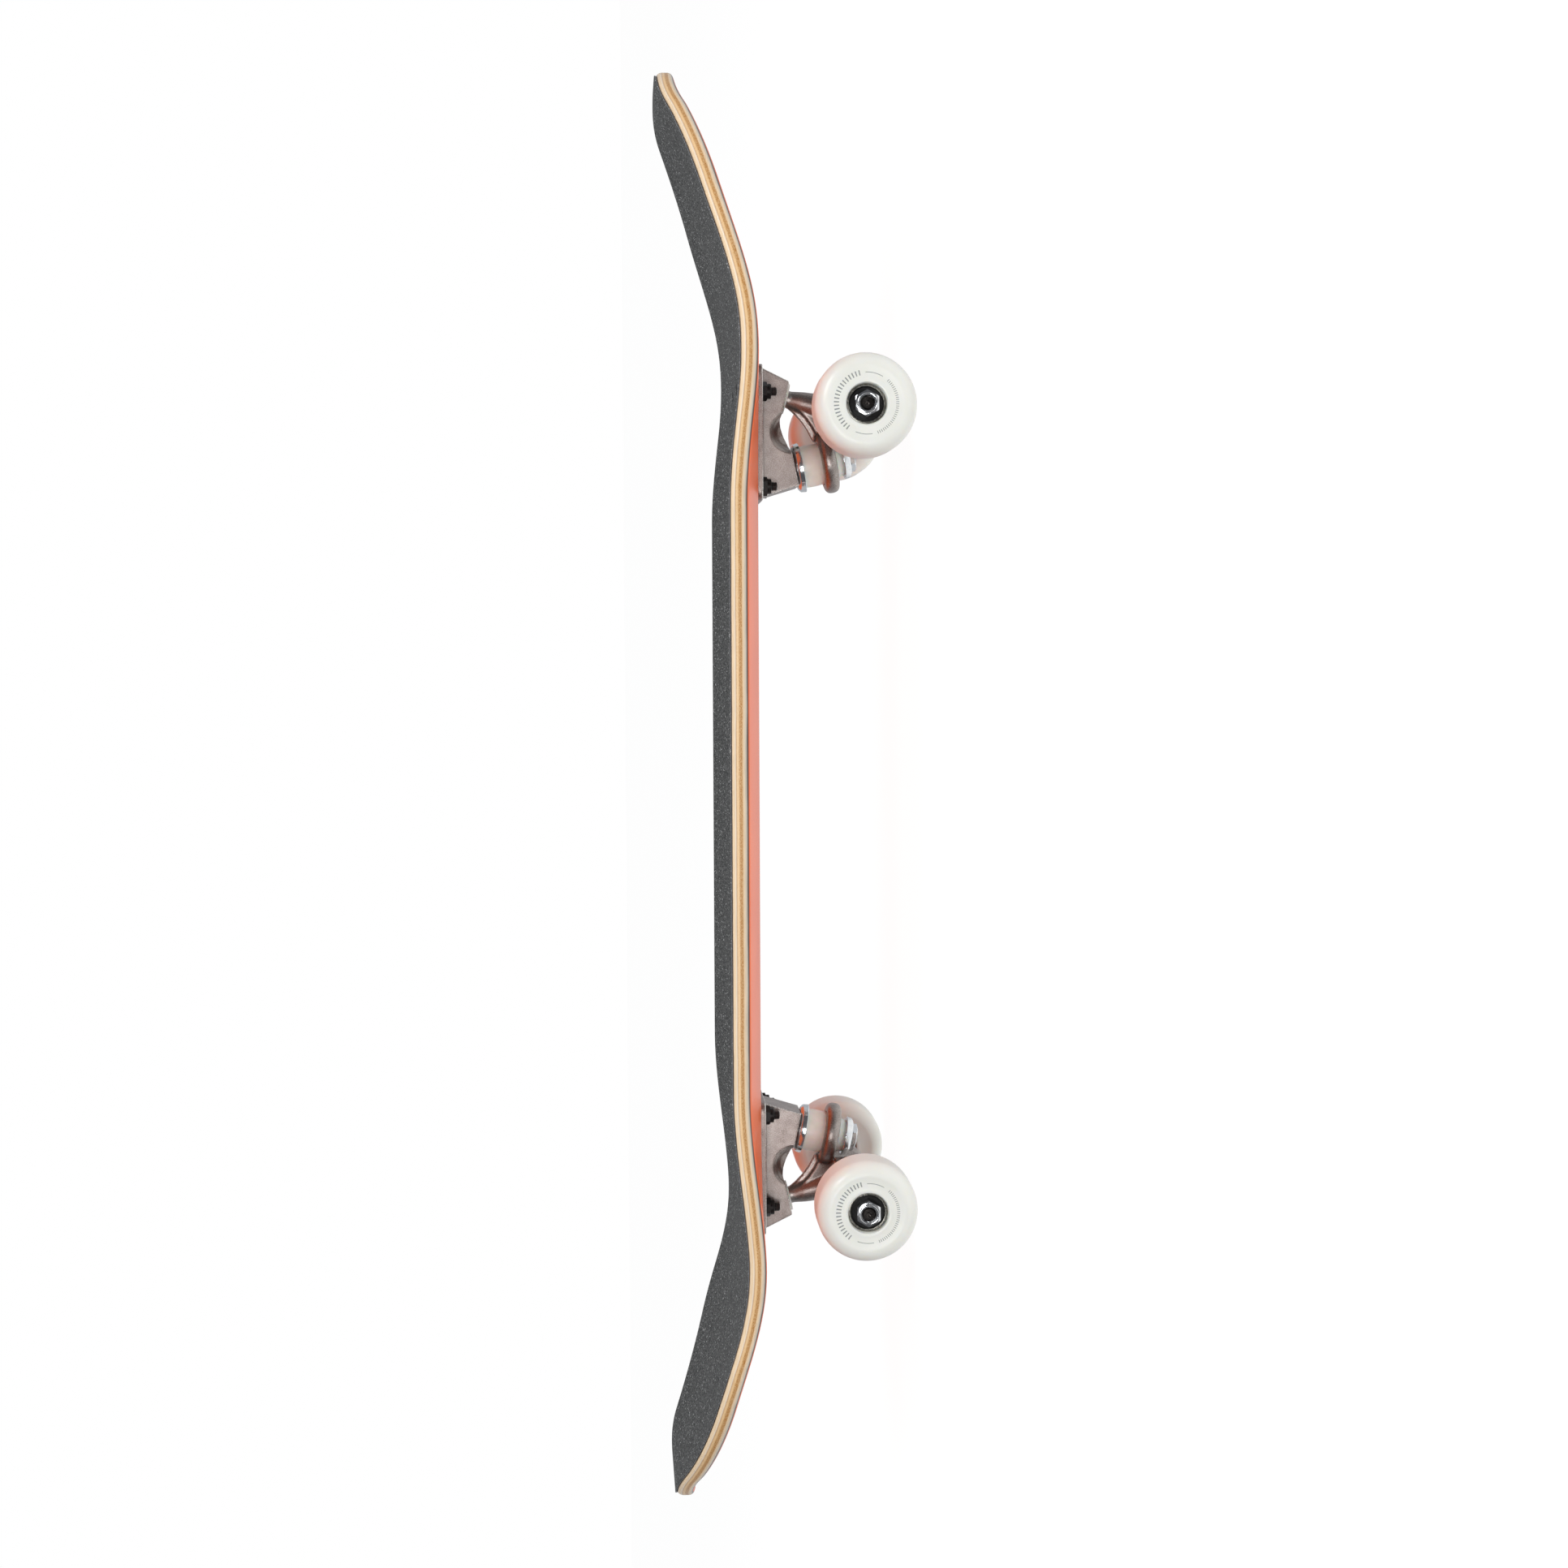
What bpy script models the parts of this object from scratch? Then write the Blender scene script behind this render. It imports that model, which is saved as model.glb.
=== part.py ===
"""A complete street skateboard, one object for each physical piece, at its real size.

Metres, +Z up. The origin is on the floor under the middle of the deck, +X points to the nose and
+Y to the rider's left. Every size below is in millimetres and is multiplied by MM where it is used.
Each truck is modelled once in its own frame: origin on the deck's underside at the middle of the
bolt pattern, x outwards to the tip of the deck, z down into the truck. Both trucks use that frame.
"""

import math

import bmesh
import bpy
from mathutils import Matrix, Vector

MM = 0.001

# Sides given to round shapes
LARGE_ROUND = 20
MEDIUM_ROUND = 16
SMALL_ROUND = 12

# Deck
DECK_LENGTH = 825.0
DECK_WIDTH = 215.9
PLY_THICKNESS = 9.8
DECK_EDGE_RADIUS = 3.4
GRIP_THICKNESS = 0.8
GRIP_INSET = 2.0
FLAT_HALF_WIDTH = 32.0
EDGE_RISE = 10.0
DISH_POWER = 1.8
DISH_FADE_LENGTH = 106.0
KICK_DISH_SHARE = 0.61
KICK_DISH_LENGTH = 70.0
# start, radius and angle shape the bend, ease flattens the tip, and dip is where the dish is shallowest
NOSE = {"start": 216.1, "radius": 371.6, "angle": 27.0, "ease": 0.0114, "dip": 268.6, "dip_share": 0.127}
TAIL = {"start": 246.1, "radius": 287.6, "angle": 28.7, "ease": 0.0170, "dip": 262.7, "dip_share": 0.096}
NOSE_TAPER = {"start": 233.5, "power": 2.38}
TAIL_TAPER = {"start": 304.3, "power": 1.79}
DECK_STATIONS = 32
DECK_ROWS = (0.0, 0.2963, 0.56, 0.8, 1.0)

# Where the trucks and wheels sit
WHEELBASE = 441.6
TRUCK_SHIFT = -3.7
AXLE_DROP = 55.0
AXLE_OUTBOARD = 12.2
WHEEL_RADIUS = 28.0
TRACK = 175.0
DECK_UNDERSIDE = WHEEL_RADIUS + AXLE_DROP

# Fastener pattern
BOLT_SPACING_X = 53.98
BOLT_SPACING_Y = 41.28
BOLT_RADIUS = 2.4
BOLT_HOLE_RADIUS = 2.75
BOLT_HEAD_RADIUS = 4.5
BOLT_HEAD_HEIGHT = 2.7
BOLT_NUT_FLATS = 9.5
BOLT_NUT_HEIGHT = 5.4
BOLT_END_PAST_NUT = 3.2

# Truck castings
FLANGE_INNER = -35.0
FLANGE_OUTER = 42.6
FLANGE_HALF_WIDTH = 28.0
FLANGE_THICKNESS = 2.8
CORE_HALF_WIDTH = 13.5
SCOOP_CENTRE = (5.0, 20.8)
SCOOP_RADIUS = 12.2
SCOOP_FLOOR = 2.0
KINGPIN_LEAN = 11.5
KINGPIN_FOOT = -20.3
KINGPIN_RADIUS = 4.76
BOSS_HEIGHT = 23.8
RING_HEIGHT = 43.4
RING_THICKNESS = 8.6
RING_RADIUS = 18.0
KINGPIN_LENGTH = 60.2
PIVOT_BALL = (26.0, 13.8)
PIVOT_LEAN = 14.0
PIVOT_BALL_RADIUS = 6.0
HANGER_HALF_WIDTH = 74.5
AXLE_RADIUS = 3.97
AXLE_HALF_LENGTH = 106.4
AXLE_NUT_FLATS = 12.7
AXLE_NUT_HEIGHT = 6.6
KINGPIN_NUT_FLATS = 14.3

# Wheels and bearings
WHEEL_HALF_WIDTH = 16.5
WHEEL_SEGMENTS = 28
BEARING_RADIUS = 10.85
BEARING_WIDTH = 7.0
BEARING_SEAT = 5.1
RUNNING_GAP = 0.15
CLEARANCE = 0.3
NUT_SEAT = TRACK / 2.0 + BEARING_SEAT + BEARING_WIDTH + 0.9

COLOURS = {
    "maple": ((0.72, 0.50, 0.27), 0.45, 0.0),
    "grip": ((0.045, 0.045, 0.048), 0.95, 0.0),
    "cast_aluminium": ((0.42, 0.39, 0.37), 0.38, 1.0),
    "urethane_cup": ((0.80, 0.79, 0.74), 0.45, 0.0),
    "bushing": ((0.86, 0.85, 0.80), 0.35, 0.0),
    "zinc": ((0.70, 0.72, 0.74), 0.18, 1.0),
    "black_steel": ((0.015, 0.015, 0.017), 0.35, 0.8),
    "steel": ((0.50, 0.50, 0.50), 0.25, 1.0),
    "shield": ((0.03, 0.03, 0.033), 0.40, 0.3),
    "wheel": ((0.84, 0.83, 0.79), 0.35, 0.0),
}


# ---- Scene and mesh helpers ----


def clear_scene():
    for obj in list(bpy.data.objects):
        bpy.data.objects.remove(obj)


def material(name):
    """The named finish, made once."""
    found = bpy.data.materials.get(name)
    if found:
        return found
    colour, roughness, metallic = COLOURS[name]
    made = bpy.data.materials.new(name)
    made.use_nodes = True
    shader = made.node_tree.nodes["Principled BSDF"]
    shader.inputs["Base Color"].default_value = (*colour, 1.0)
    shader.inputs["Roughness"].default_value = roughness
    shader.inputs["Metallic"].default_value = metallic
    made.diffuse_color = (*colour, 1.0)
    return made


def new_object(name, mesh, parent=None, matrix=None):
    obj = bpy.data.objects.new(name, mesh)
    bpy.context.scene.collection.objects.link(obj)
    obj.parent = parent
    if matrix is not None:
        obj.matrix_local = matrix
    return obj


def new_empty(name, parent=None, matrix=None):
    empty = new_object(name, None, parent, matrix)
    empty.empty_display_size = 10 * MM
    return empty


def mesh_of(work, name):
    """Turns a bmesh into a mesh with outward faces."""
    bmesh.ops.recalc_face_normals(work, faces=work.faces)
    mesh = bpy.data.meshes.new(name)
    work.to_mesh(mesh)
    work.free()
    return mesh


def finish(obj, finish_name, smooth_angle=35.0):
    obj.data.materials.clear()
    obj.data.materials.append(material(finish_name))
    obj.data.shade_smooth()
    obj.data.set_sharp_from_angle(angle=math.radians(smooth_angle))
    return obj


def boolean(obj, other, operation):
    """Joins, cuts or intersects obj with other, which is used up."""
    modifier = obj.modifiers.new(operation.title(), "BOOLEAN")
    modifier.operation = operation
    modifier.solver = "EXACT"
    modifier.object = other
    bpy.context.view_layer.update()
    graph = bpy.context.evaluated_depsgraph_get()
    shaped = bpy.data.meshes.new_from_object(obj.evaluated_get(graph))
    obj.modifiers.clear()
    obj.data = shaped
    bpy.data.objects.remove(other)


def axis_matrix(point, direction, roll_towards=(0.0, 1.0, 0.0)):
    """A frame at point (mm) whose Z runs along direction and whose Y is as near roll_towards as it gets."""
    z = Vector(direction).normalized()
    x = Vector(roll_towards).cross(z).normalized()
    y = z.cross(x)
    frame = Matrix((x, y, z)).transposed().to_4x4()
    frame.translation = Vector(point) * MM
    return frame


ALONG_Y = Matrix.Rotation(math.radians(-90.0), 4, "X")


def lathe_mesh(name, profile, segments, turn=0.0):
    """Turns a closed (radius, height) outline round Z. Points on the axis become single poles."""
    work = bmesh.new()
    rings = []
    for radius, height in profile:
        if radius == 0.0:
            rings.append([work.verts.new((0.0, 0.0, height * MM))] * segments)
            continue
        ring = []
        for step in range(segments):
            angle = 2.0 * math.pi * (step + turn) / segments
            spot = (radius * math.cos(angle), radius * math.sin(angle), height)
            ring.append(work.verts.new(Vector(spot) * MM))
        rings.append(ring)
    for first, second in zip(rings, rings[1:] + rings[:1]):
        for step in range(segments):
            after = (step + 1) % segments
            corners = [first[step], first[after], second[after], second[step]]
            unique = list(dict.fromkeys(corners))
            if len(unique) > 2:
                work.faces.new(unique)
    return mesh_of(work, name)


def prism_mesh(name, outline, low, high, bevel=0.0):
    """Extrudes an (x, y) outline from low to high in z, with an optional bevel on its long edges."""
    work = bmesh.new()
    floor = [work.verts.new(Vector((x, y, low)) * MM) for x, y in outline]
    face = work.faces.new(floor)
    risen = bmesh.ops.extrude_face_region(work, geom=[face])["geom"]
    for vert in (item for item in risen if isinstance(item, bmesh.types.BMVert)):
        vert.co.z = high * MM
    if bevel:
        bmesh.ops.bevel(work, geom=list(work.edges), offset=bevel * MM, segments=1, affect="EDGES")
    return mesh_of(work, name)


def rectangle(x_low, x_high, y_low, y_high):
    return [(x_low, y_low), (x_high, y_low), (x_high, y_high), (x_low, y_high)]


def rounded_rectangle(x_low, x_high, half_width, radius, steps=3):
    """Corner arcs of a rectangle that is symmetric in y."""
    points = []
    corners = (
        (x_high - radius, half_width - radius, 0.0),
        (x_low + radius, half_width - radius, 90.0),
        (x_low + radius, radius - half_width, 180.0),
        (x_high - radius, radius - half_width, 270.0),
    )
    for x, y, start in corners:
        for step in range(steps + 1):
            angle = math.radians(start + 90.0 * step / steps)
            points.append((x + radius * math.cos(angle), y + radius * math.sin(angle)))
    return points


def hexagon(flats):
    radius = flats / math.sqrt(3.0)
    return [
        (radius * math.cos(math.radians(60.0 * k)), radius * math.sin(math.radians(60.0 * k)))
        for k in range(6)
    ]


def rod_mesh(name, radius, low, high, segments=MEDIUM_ROUND):
    return lathe_mesh(name, [(0.0, high), (radius, high), (radius, low), (0.0, low)], segments)


# ---- Deck and grip ----


def half_width(x):
    """Half the deck's width at x: straight sides, then a rounded nose and tail."""
    taper = NOSE_TAPER if x > 0.0 else TAIL_TAPER
    power = taper["power"]
    reach = (abs(x) - taper["start"]) / (DECK_LENGTH / 2.0 - taper["start"])
    if reach <= 0.0:
        return DECK_WIDTH / 2.0
    return DECK_WIDTH / 2.0 * (1.0 - min(reach, 1.0) ** power) ** (1.0 / power)


def kick_of(x):
    """(rise, slope) of the deck's middle line at x."""
    kick = NOSE if x > 0.0 else TAIL
    along = abs(x) - kick["start"]
    if along <= 0.0:
        return 0.0, 0.0
    angle = math.radians(kick["angle"])
    bend = kick["radius"] * math.sin(angle)
    if along < bend:
        height = math.sqrt(kick["radius"] ** 2 - along**2)
        return kick["radius"] - height, along / height
    past = along - bend
    rise = kick["radius"] * (1.0 - math.cos(angle)) + past * math.tan(angle) - kick["ease"] * past**2
    return rise, math.tan(angle) - 2.0 * kick["ease"] * past


def smooth_step(value):
    held = min(max(value, 0.0), 1.0)
    return held * held * (3.0 - 2.0 * held)


def dish_share(x):
    """How much of the full side-to-side dish there is at x: all of it between the trucks, less at the bends."""
    kick = NOSE if x > 0.0 else TAIL
    low = kick["dip_share"]
    past = abs(x) - kick["dip"]
    falling = smooth_step(past / DISH_FADE_LENGTH + 1.0)
    rising = smooth_step(past / KICK_DISH_LENGTH)
    return 1.0 - (1.0 - low) * falling + (KICK_DISH_SHARE - low) * rising


def surface_height(x, y):
    """Height of the deck's top face over its flat middle."""
    share = max(0.0, (abs(y) - FLAT_HALF_WIDTH) / (DECK_WIDTH / 2.0 - FLAT_HALF_WIDTH))
    return kick_of(x)[0] + EDGE_RISE * dish_share(x) * share**DISH_POWER


def slab_mesh(name, inset, low, high, edge_radius, edge_steps):
    """A sheet that follows the deck, between low and high above its top face, with rounded edges.

    A grid of rows fills the face, and rings offset along the outline's normal close the edge.
    """
    work = bmesh.new()
    reach = DECK_LENGTH / 2.0 - inset - edge_radius
    rows = [-v for v in reversed(DECK_ROWS[1:])] + list(DECK_ROWS)

    def point(x, y, height):
        thickness_scale = math.hypot(1.0, kick_of(x)[1])
        lift = DECK_UNDERSIDE + PLY_THICKNESS + surface_height(x, y) + height * thickness_scale
        return work.verts.new(Vector((x, y, lift)) * MM)

    grid = []
    for station in range(DECK_STATIONS + 1):
        x = -reach * math.cos(math.pi * (0.04 + 0.92 * station / DECK_STATIONS))
        x *= 1.0 / math.cos(math.pi * 0.04) * 0.9995
        half = max(half_width(x * (reach + inset + edge_radius) / reach) - inset - edge_radius, 4.0)
        grid.append([(x, half * v) for v in rows])
    last = len(rows) - 1
    outline = [column[0] for column in grid] + grid[-1][1:]
    outline += [column[last] for column in reversed(grid[:-1])] + list(reversed(grid[0][1:last]))
    count = len(outline)

    def normal(k):
        ahead, behind = Vector(outline[(k + 1) % count]), Vector(outline[k - 1])
        along = (ahead - behind).normalized()
        return Vector((along.y, -along.x))

    faces = {}
    for height, key in ((high, "top"), (low, "bottom")):
        faces[key] = [[point(x, y, height) for x, y in column] for column in grid]
        for near, far in zip(faces[key], faces[key][1:]):
            for k in range(last):
                work.faces.new((near[k], far[k], far[k + 1], near[k + 1]))

    def rim(key):
        layer = faces[key]
        ring = [column[0] for column in layer] + layer[-1][1:]
        return ring + [column[last] for column in reversed(layer[:-1])] + list(reversed(layer[0][1:last]))

    rings = [rim("top")]
    if edge_radius:
        for corner, sign in ((high - edge_radius, 1.0), (low + edge_radius, -1.0)):
            arc = range(1, edge_steps + 1) if sign > 0.0 else range(edge_steps, 0, -1)
            for step in arc:
                angle = math.radians(90.0 * step / edge_steps)
                out = edge_radius * math.sin(angle)
                height = corner + sign * edge_radius * math.cos(angle)
                spots = [Vector(outline[k]) + normal(k) * out for k in range(count)]
                rings.append([point(spot.x, spot.y, height) for spot in spots])
    rings.append(rim("bottom"))
    for first, second in zip(rings, rings[1:]):
        for k in range(count):
            after = (k + 1) % count
            work.faces.new((first[k], first[after], second[after], second[k]))
    return mesh_of(work, name)


def truck_x(end):
    """x of the bolt pattern's middle for the front (+1) or rear (-1) truck."""
    return TRUCK_SHIFT + end * (WHEELBASE / 2.0 - AXLE_OUTBOARD)


def bolt_places():
    """(name, x, y) of the eight mounting bolts."""
    for end_name, end in (("front", 1.0), ("rear", -1.0)):
        for row_name, row in (("outer", 1.0), ("inner", -1.0)):
            for side_name, side in (("left", 1.0), ("right", -1.0)):
                x = truck_x(end) + end * row * BOLT_SPACING_X / 2.0
                yield f"{end_name}_{row_name}_{side_name}", x, side * BOLT_SPACING_Y / 2.0


def make_deck():
    deck = new_object("deck", slab_mesh("deck", 0.0, -PLY_THICKNESS, 0.0, DECK_EDGE_RADIUS, 2))
    top = PLY_THICKNESS + CLEARANCE
    countersink = top - BOLT_HEAD_HEIGHT
    wide = BOLT_HEAD_RADIUS + CLEARANCE
    profile = [(0.0, top + 5.0), (wide, top + 5.0), (wide, top), (BOLT_HOLE_RADIUS, countersink - 0.6)]
    profile += [(BOLT_HOLE_RADIUS, -5.0), (0.0, -5.0)]
    for _, x, y in bolt_places():
        place = Matrix.Translation(Vector((x, y, DECK_UNDERSIDE)) * MM)
        boolean(deck, new_object("drill", lathe_mesh("drill", profile, SMALL_ROUND), None, place), "DIFFERENCE")
    finish(deck, "maple")


def make_grip():
    low = CLEARANCE
    grip = new_object("grip_tape", slab_mesh("grip_tape", GRIP_INSET, low, low + GRIP_THICKNESS, 0.0, 0))
    for _, x, y in bolt_places():
        place = Matrix.Translation(Vector((x, y, DECK_UNDERSIDE + PLY_THICKNESS)) * MM)
        punch = rod_mesh("punch", BOLT_HEAD_RADIUS + CLEARANCE, -4.0, 5.0, SMALL_ROUND)
        boolean(grip, new_object("punch", punch, None, place), "DIFFERENCE")
    finish(grip, "grip")


# ---- Mounting hardware ----


def bolt_mesh():
    """A countersunk machine screw, its head up, with a cross recess."""
    top = PLY_THICKNESS + CLEARANCE + GRIP_THICKNESS
    end = -(FLANGE_THICKNESS + CLEARANCE * 2.0 + BOLT_NUT_HEIGHT + BOLT_END_PAST_NUT)
    neck = top - BOLT_HEAD_HEIGHT
    profile = [(0.0, top), (BOLT_HEAD_RADIUS, top), (BOLT_HEAD_RADIUS, top - 0.5), (BOLT_RADIUS, neck)]
    profile += [(BOLT_RADIUS, end + 0.6), (BOLT_RADIUS - 0.6, end), (0.0, end)]
    screw = new_object("screw", lathe_mesh("screw", profile, SMALL_ROUND))
    for length, width in ((5.0, 1.1), (1.1, 5.0)):
        slot = rectangle(-length / 2.0, length / 2.0, -width / 2.0, width / 2.0)
        boolean(screw, new_object("slot", prism_mesh("slot", slot, top - 1.4, top + 1.0)), "DIFFERENCE")
    mesh = screw.data
    bpy.data.objects.remove(screw)
    return mesh


def hex_nut_mesh(flats, height, bore, collar):
    """A lock nut from z 0 up, with a round collar at its far end."""
    nut = new_object("nut", prism_mesh("nut", hexagon(flats), 0.0, height - collar))
    radius = flats / 2.0 - 0.3
    profile = [(0.0, height), (radius - 0.8, height), (radius, height - 0.8)]
    profile += [(radius, height / 2.0), (0.0, height / 2.0)]
    boolean(nut, new_object("collar", lathe_mesh("collar", profile, SMALL_ROUND)), "UNION")
    clear = bore / math.cos(math.pi / SMALL_ROUND)
    boolean(nut, new_object("bore", rod_mesh("bore", clear, -2.0, height + 2.0, SMALL_ROUND)), "DIFFERENCE")
    mesh = nut.data
    bpy.data.objects.remove(nut)
    return mesh


def make_mounting_hardware():
    bolts = bolt_mesh()
    nuts = hex_nut_mesh(BOLT_NUT_FLATS, BOLT_NUT_HEIGHT, BOLT_RADIUS + RUNNING_GAP, 1.4)
    nut_top = DECK_UNDERSIDE - CLEARANCE * 2.0 - FLANGE_THICKNESS
    for name, x, y in bolt_places():
        at_bolt = Matrix.Translation(Vector((x, y, DECK_UNDERSIDE)) * MM)
        finish(new_object(f"{name}_bolt", bolts, None, at_bolt), "black_steel")
        at_nut = Matrix.Translation(Vector((x, y, nut_top)) * MM) @ Matrix.Rotation(math.pi, 4, "X")
        finish(new_object(f"{name}_nut", nuts, None, at_nut), "black_steel")


# ---- Truck directions, in the truck's own frame ----


def lean(angle, sign):
    """A unit vector that points down into the truck and leans outwards (+1) or inwards (-1)."""
    turn = math.radians(angle)
    return Vector((sign * math.sin(turn), 0.0, math.cos(turn)))


KINGPIN_DIRECTION = lean(KINGPIN_LEAN, 1.0)
PIVOT_DIRECTION = lean(PIVOT_LEAN, -1.0)
KINGPIN_POINT = Vector((KINGPIN_FOOT, 0.0, 0.0))
RING_POINT = KINGPIN_POINT + KINGPIN_DIRECTION * RING_HEIGHT
BALL_POINT = Vector((PIVOT_BALL[0], 0.0, PIVOT_BALL[1]))
AXLE_POINT = Vector((AXLE_OUTBOARD, 0.0, AXLE_DROP))
STEER_DIRECTION = (RING_POINT - BALL_POINT).normalized()

KINGPIN_FRAME = axis_matrix(KINGPIN_POINT, KINGPIN_DIRECTION)
PIVOT_FRAME = axis_matrix(BALL_POINT, PIVOT_DIRECTION)
SIDE_PLANE = Matrix.Rotation(math.radians(90.0), 4, "X")


def side_prism(name, outline, half_thickness, bevel=0.0):
    """Extrudes an (x, z) side view equally to both sides of the truck's middle plane."""
    flat = [(x, -z) for x, z in outline]
    mesh = prism_mesh(name, flat, -half_thickness, half_thickness, bevel)
    mesh.transform(SIDE_PLANE.inverted())
    return new_object(name, mesh)


# ---- Truck castings ----

PIVOT_FACE = 4.0
CUP_BORE_RADIUS = 8.6
CUP_BORE_DEPTH = 8.3


def baseplate_mesh():
    """The cast plate: flange, kingpin boss, pivot housing, and the web between them, scooped at both sides."""
    outline = rounded_rectangle(FLANGE_INNER, FLANGE_OUTER, FLANGE_HALF_WIDTH, 6.0)
    plate = new_object("plate", prism_mesh("plate", outline, CLEARANCE, FLANGE_THICKNESS + CLEARANCE))
    web = [(42.4, 1.5), (33.6, 19.8), (16.6, 15.8), (12.3, 14.7), (8.0, 15.2), (3.2, 16.8), (-4.7, 20.5)]
    web += [(-7.3, 21.4), (-26.0, 25.2), (-33.2, 1.5)]
    boolean(plate, side_prism("web", web, CORE_HALF_WIDTH), "UNION")
    scoop = [(0.0, SCOOP_FLOOR), (7.5, SCOOP_FLOOR + 1.5), (10.2, SCOOP_FLOOR + 5.5)]
    scoop += [(SCOOP_RADIUS, CORE_HALF_WIDTH - 0.5), (SCOOP_RADIUS, 30.0), (0.0, 30.0)]
    for side in (-1.0, 1.0):
        place = axis_matrix((SCOOP_CENTRE[0], 0.0, SCOOP_CENTRE[1]), (0.0, side, 0.0), (0.0, 0.0, 1.0))
        boolean(plate, new_object("scoop", lathe_mesh("scoop", scoop, LARGE_ROUND), None, place), "DIFFERENCE")
    boss = rod_mesh("boss", 9.4, 4.5, BOSS_HEIGHT, LARGE_ROUND)
    boolean(plate, new_object("boss", boss, None, KINGPIN_FRAME), "UNION")
    housing_profile = [(0.0, PIVOT_FACE), (10.4, PIVOT_FACE), (11.6, -9.0), (0.0, -9.0)]
    housing = lathe_mesh("housing", housing_profile, MEDIUM_ROUND)
    boolean(plate, new_object("housing", housing, None, PIVOT_FRAME), "UNION")
    above = prism_mesh("above", rectangle(-80.0, 80.0, -60.0, 60.0), -60.0, CLEARANCE)
    boolean(plate, new_object("above", above), "DIFFERENCE")
    cup_bore = rod_mesh("cup_bore", CUP_BORE_RADIUS, -CUP_BORE_DEPTH, 12.0)
    boolean(plate, new_object("cup_bore", cup_bore, None, PIVOT_FRAME), "DIFFERENCE")
    hole = [(0.0, 60.0), (KINGPIN_RADIUS + RUNNING_GAP, 60.0), (KINGPIN_RADIUS + RUNNING_GAP, 6.6)]
    hole += [(7.7, 6.6), (7.7, -20.0), (0.0, -20.0)]
    kingpin_hole = new_object("kingpin_hole", lathe_mesh("kingpin_hole", hole, MEDIUM_ROUND), None, KINGPIN_FRAME)
    boolean(plate, kingpin_hole, "DIFFERENCE")
    for x in (-BOLT_SPACING_X / 2.0, BOLT_SPACING_X / 2.0):
        for y in (-BOLT_SPACING_Y / 2.0, BOLT_SPACING_Y / 2.0):
            drill = rod_mesh("drill", BOLT_HOLE_RADIUS, -5.0, 10.0, SMALL_ROUND)
            place = Matrix.Translation(Vector((x, y, 0.0)) * MM)
            boolean(plate, new_object("drill", drill, None, place), "DIFFERENCE")
    mesh = plate.data
    bpy.data.objects.remove(plate)
    return mesh


def arm_mesh():
    """The tapered arm from the yoke ring to the axle beam, in a frame whose Z crosses its thickness."""
    span = (AXLE_POINT - RING_POINT).length
    outline = [(6.0, -12.0), (span - 3.0, -42.0), (span + 2.0, -42.0)]
    outline += [(span + 2.0, 42.0), (span - 3.0, 42.0), (6.0, 12.0)]
    return prism_mesh("arm", outline, -4.2, 4.2, 1.2)


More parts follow.
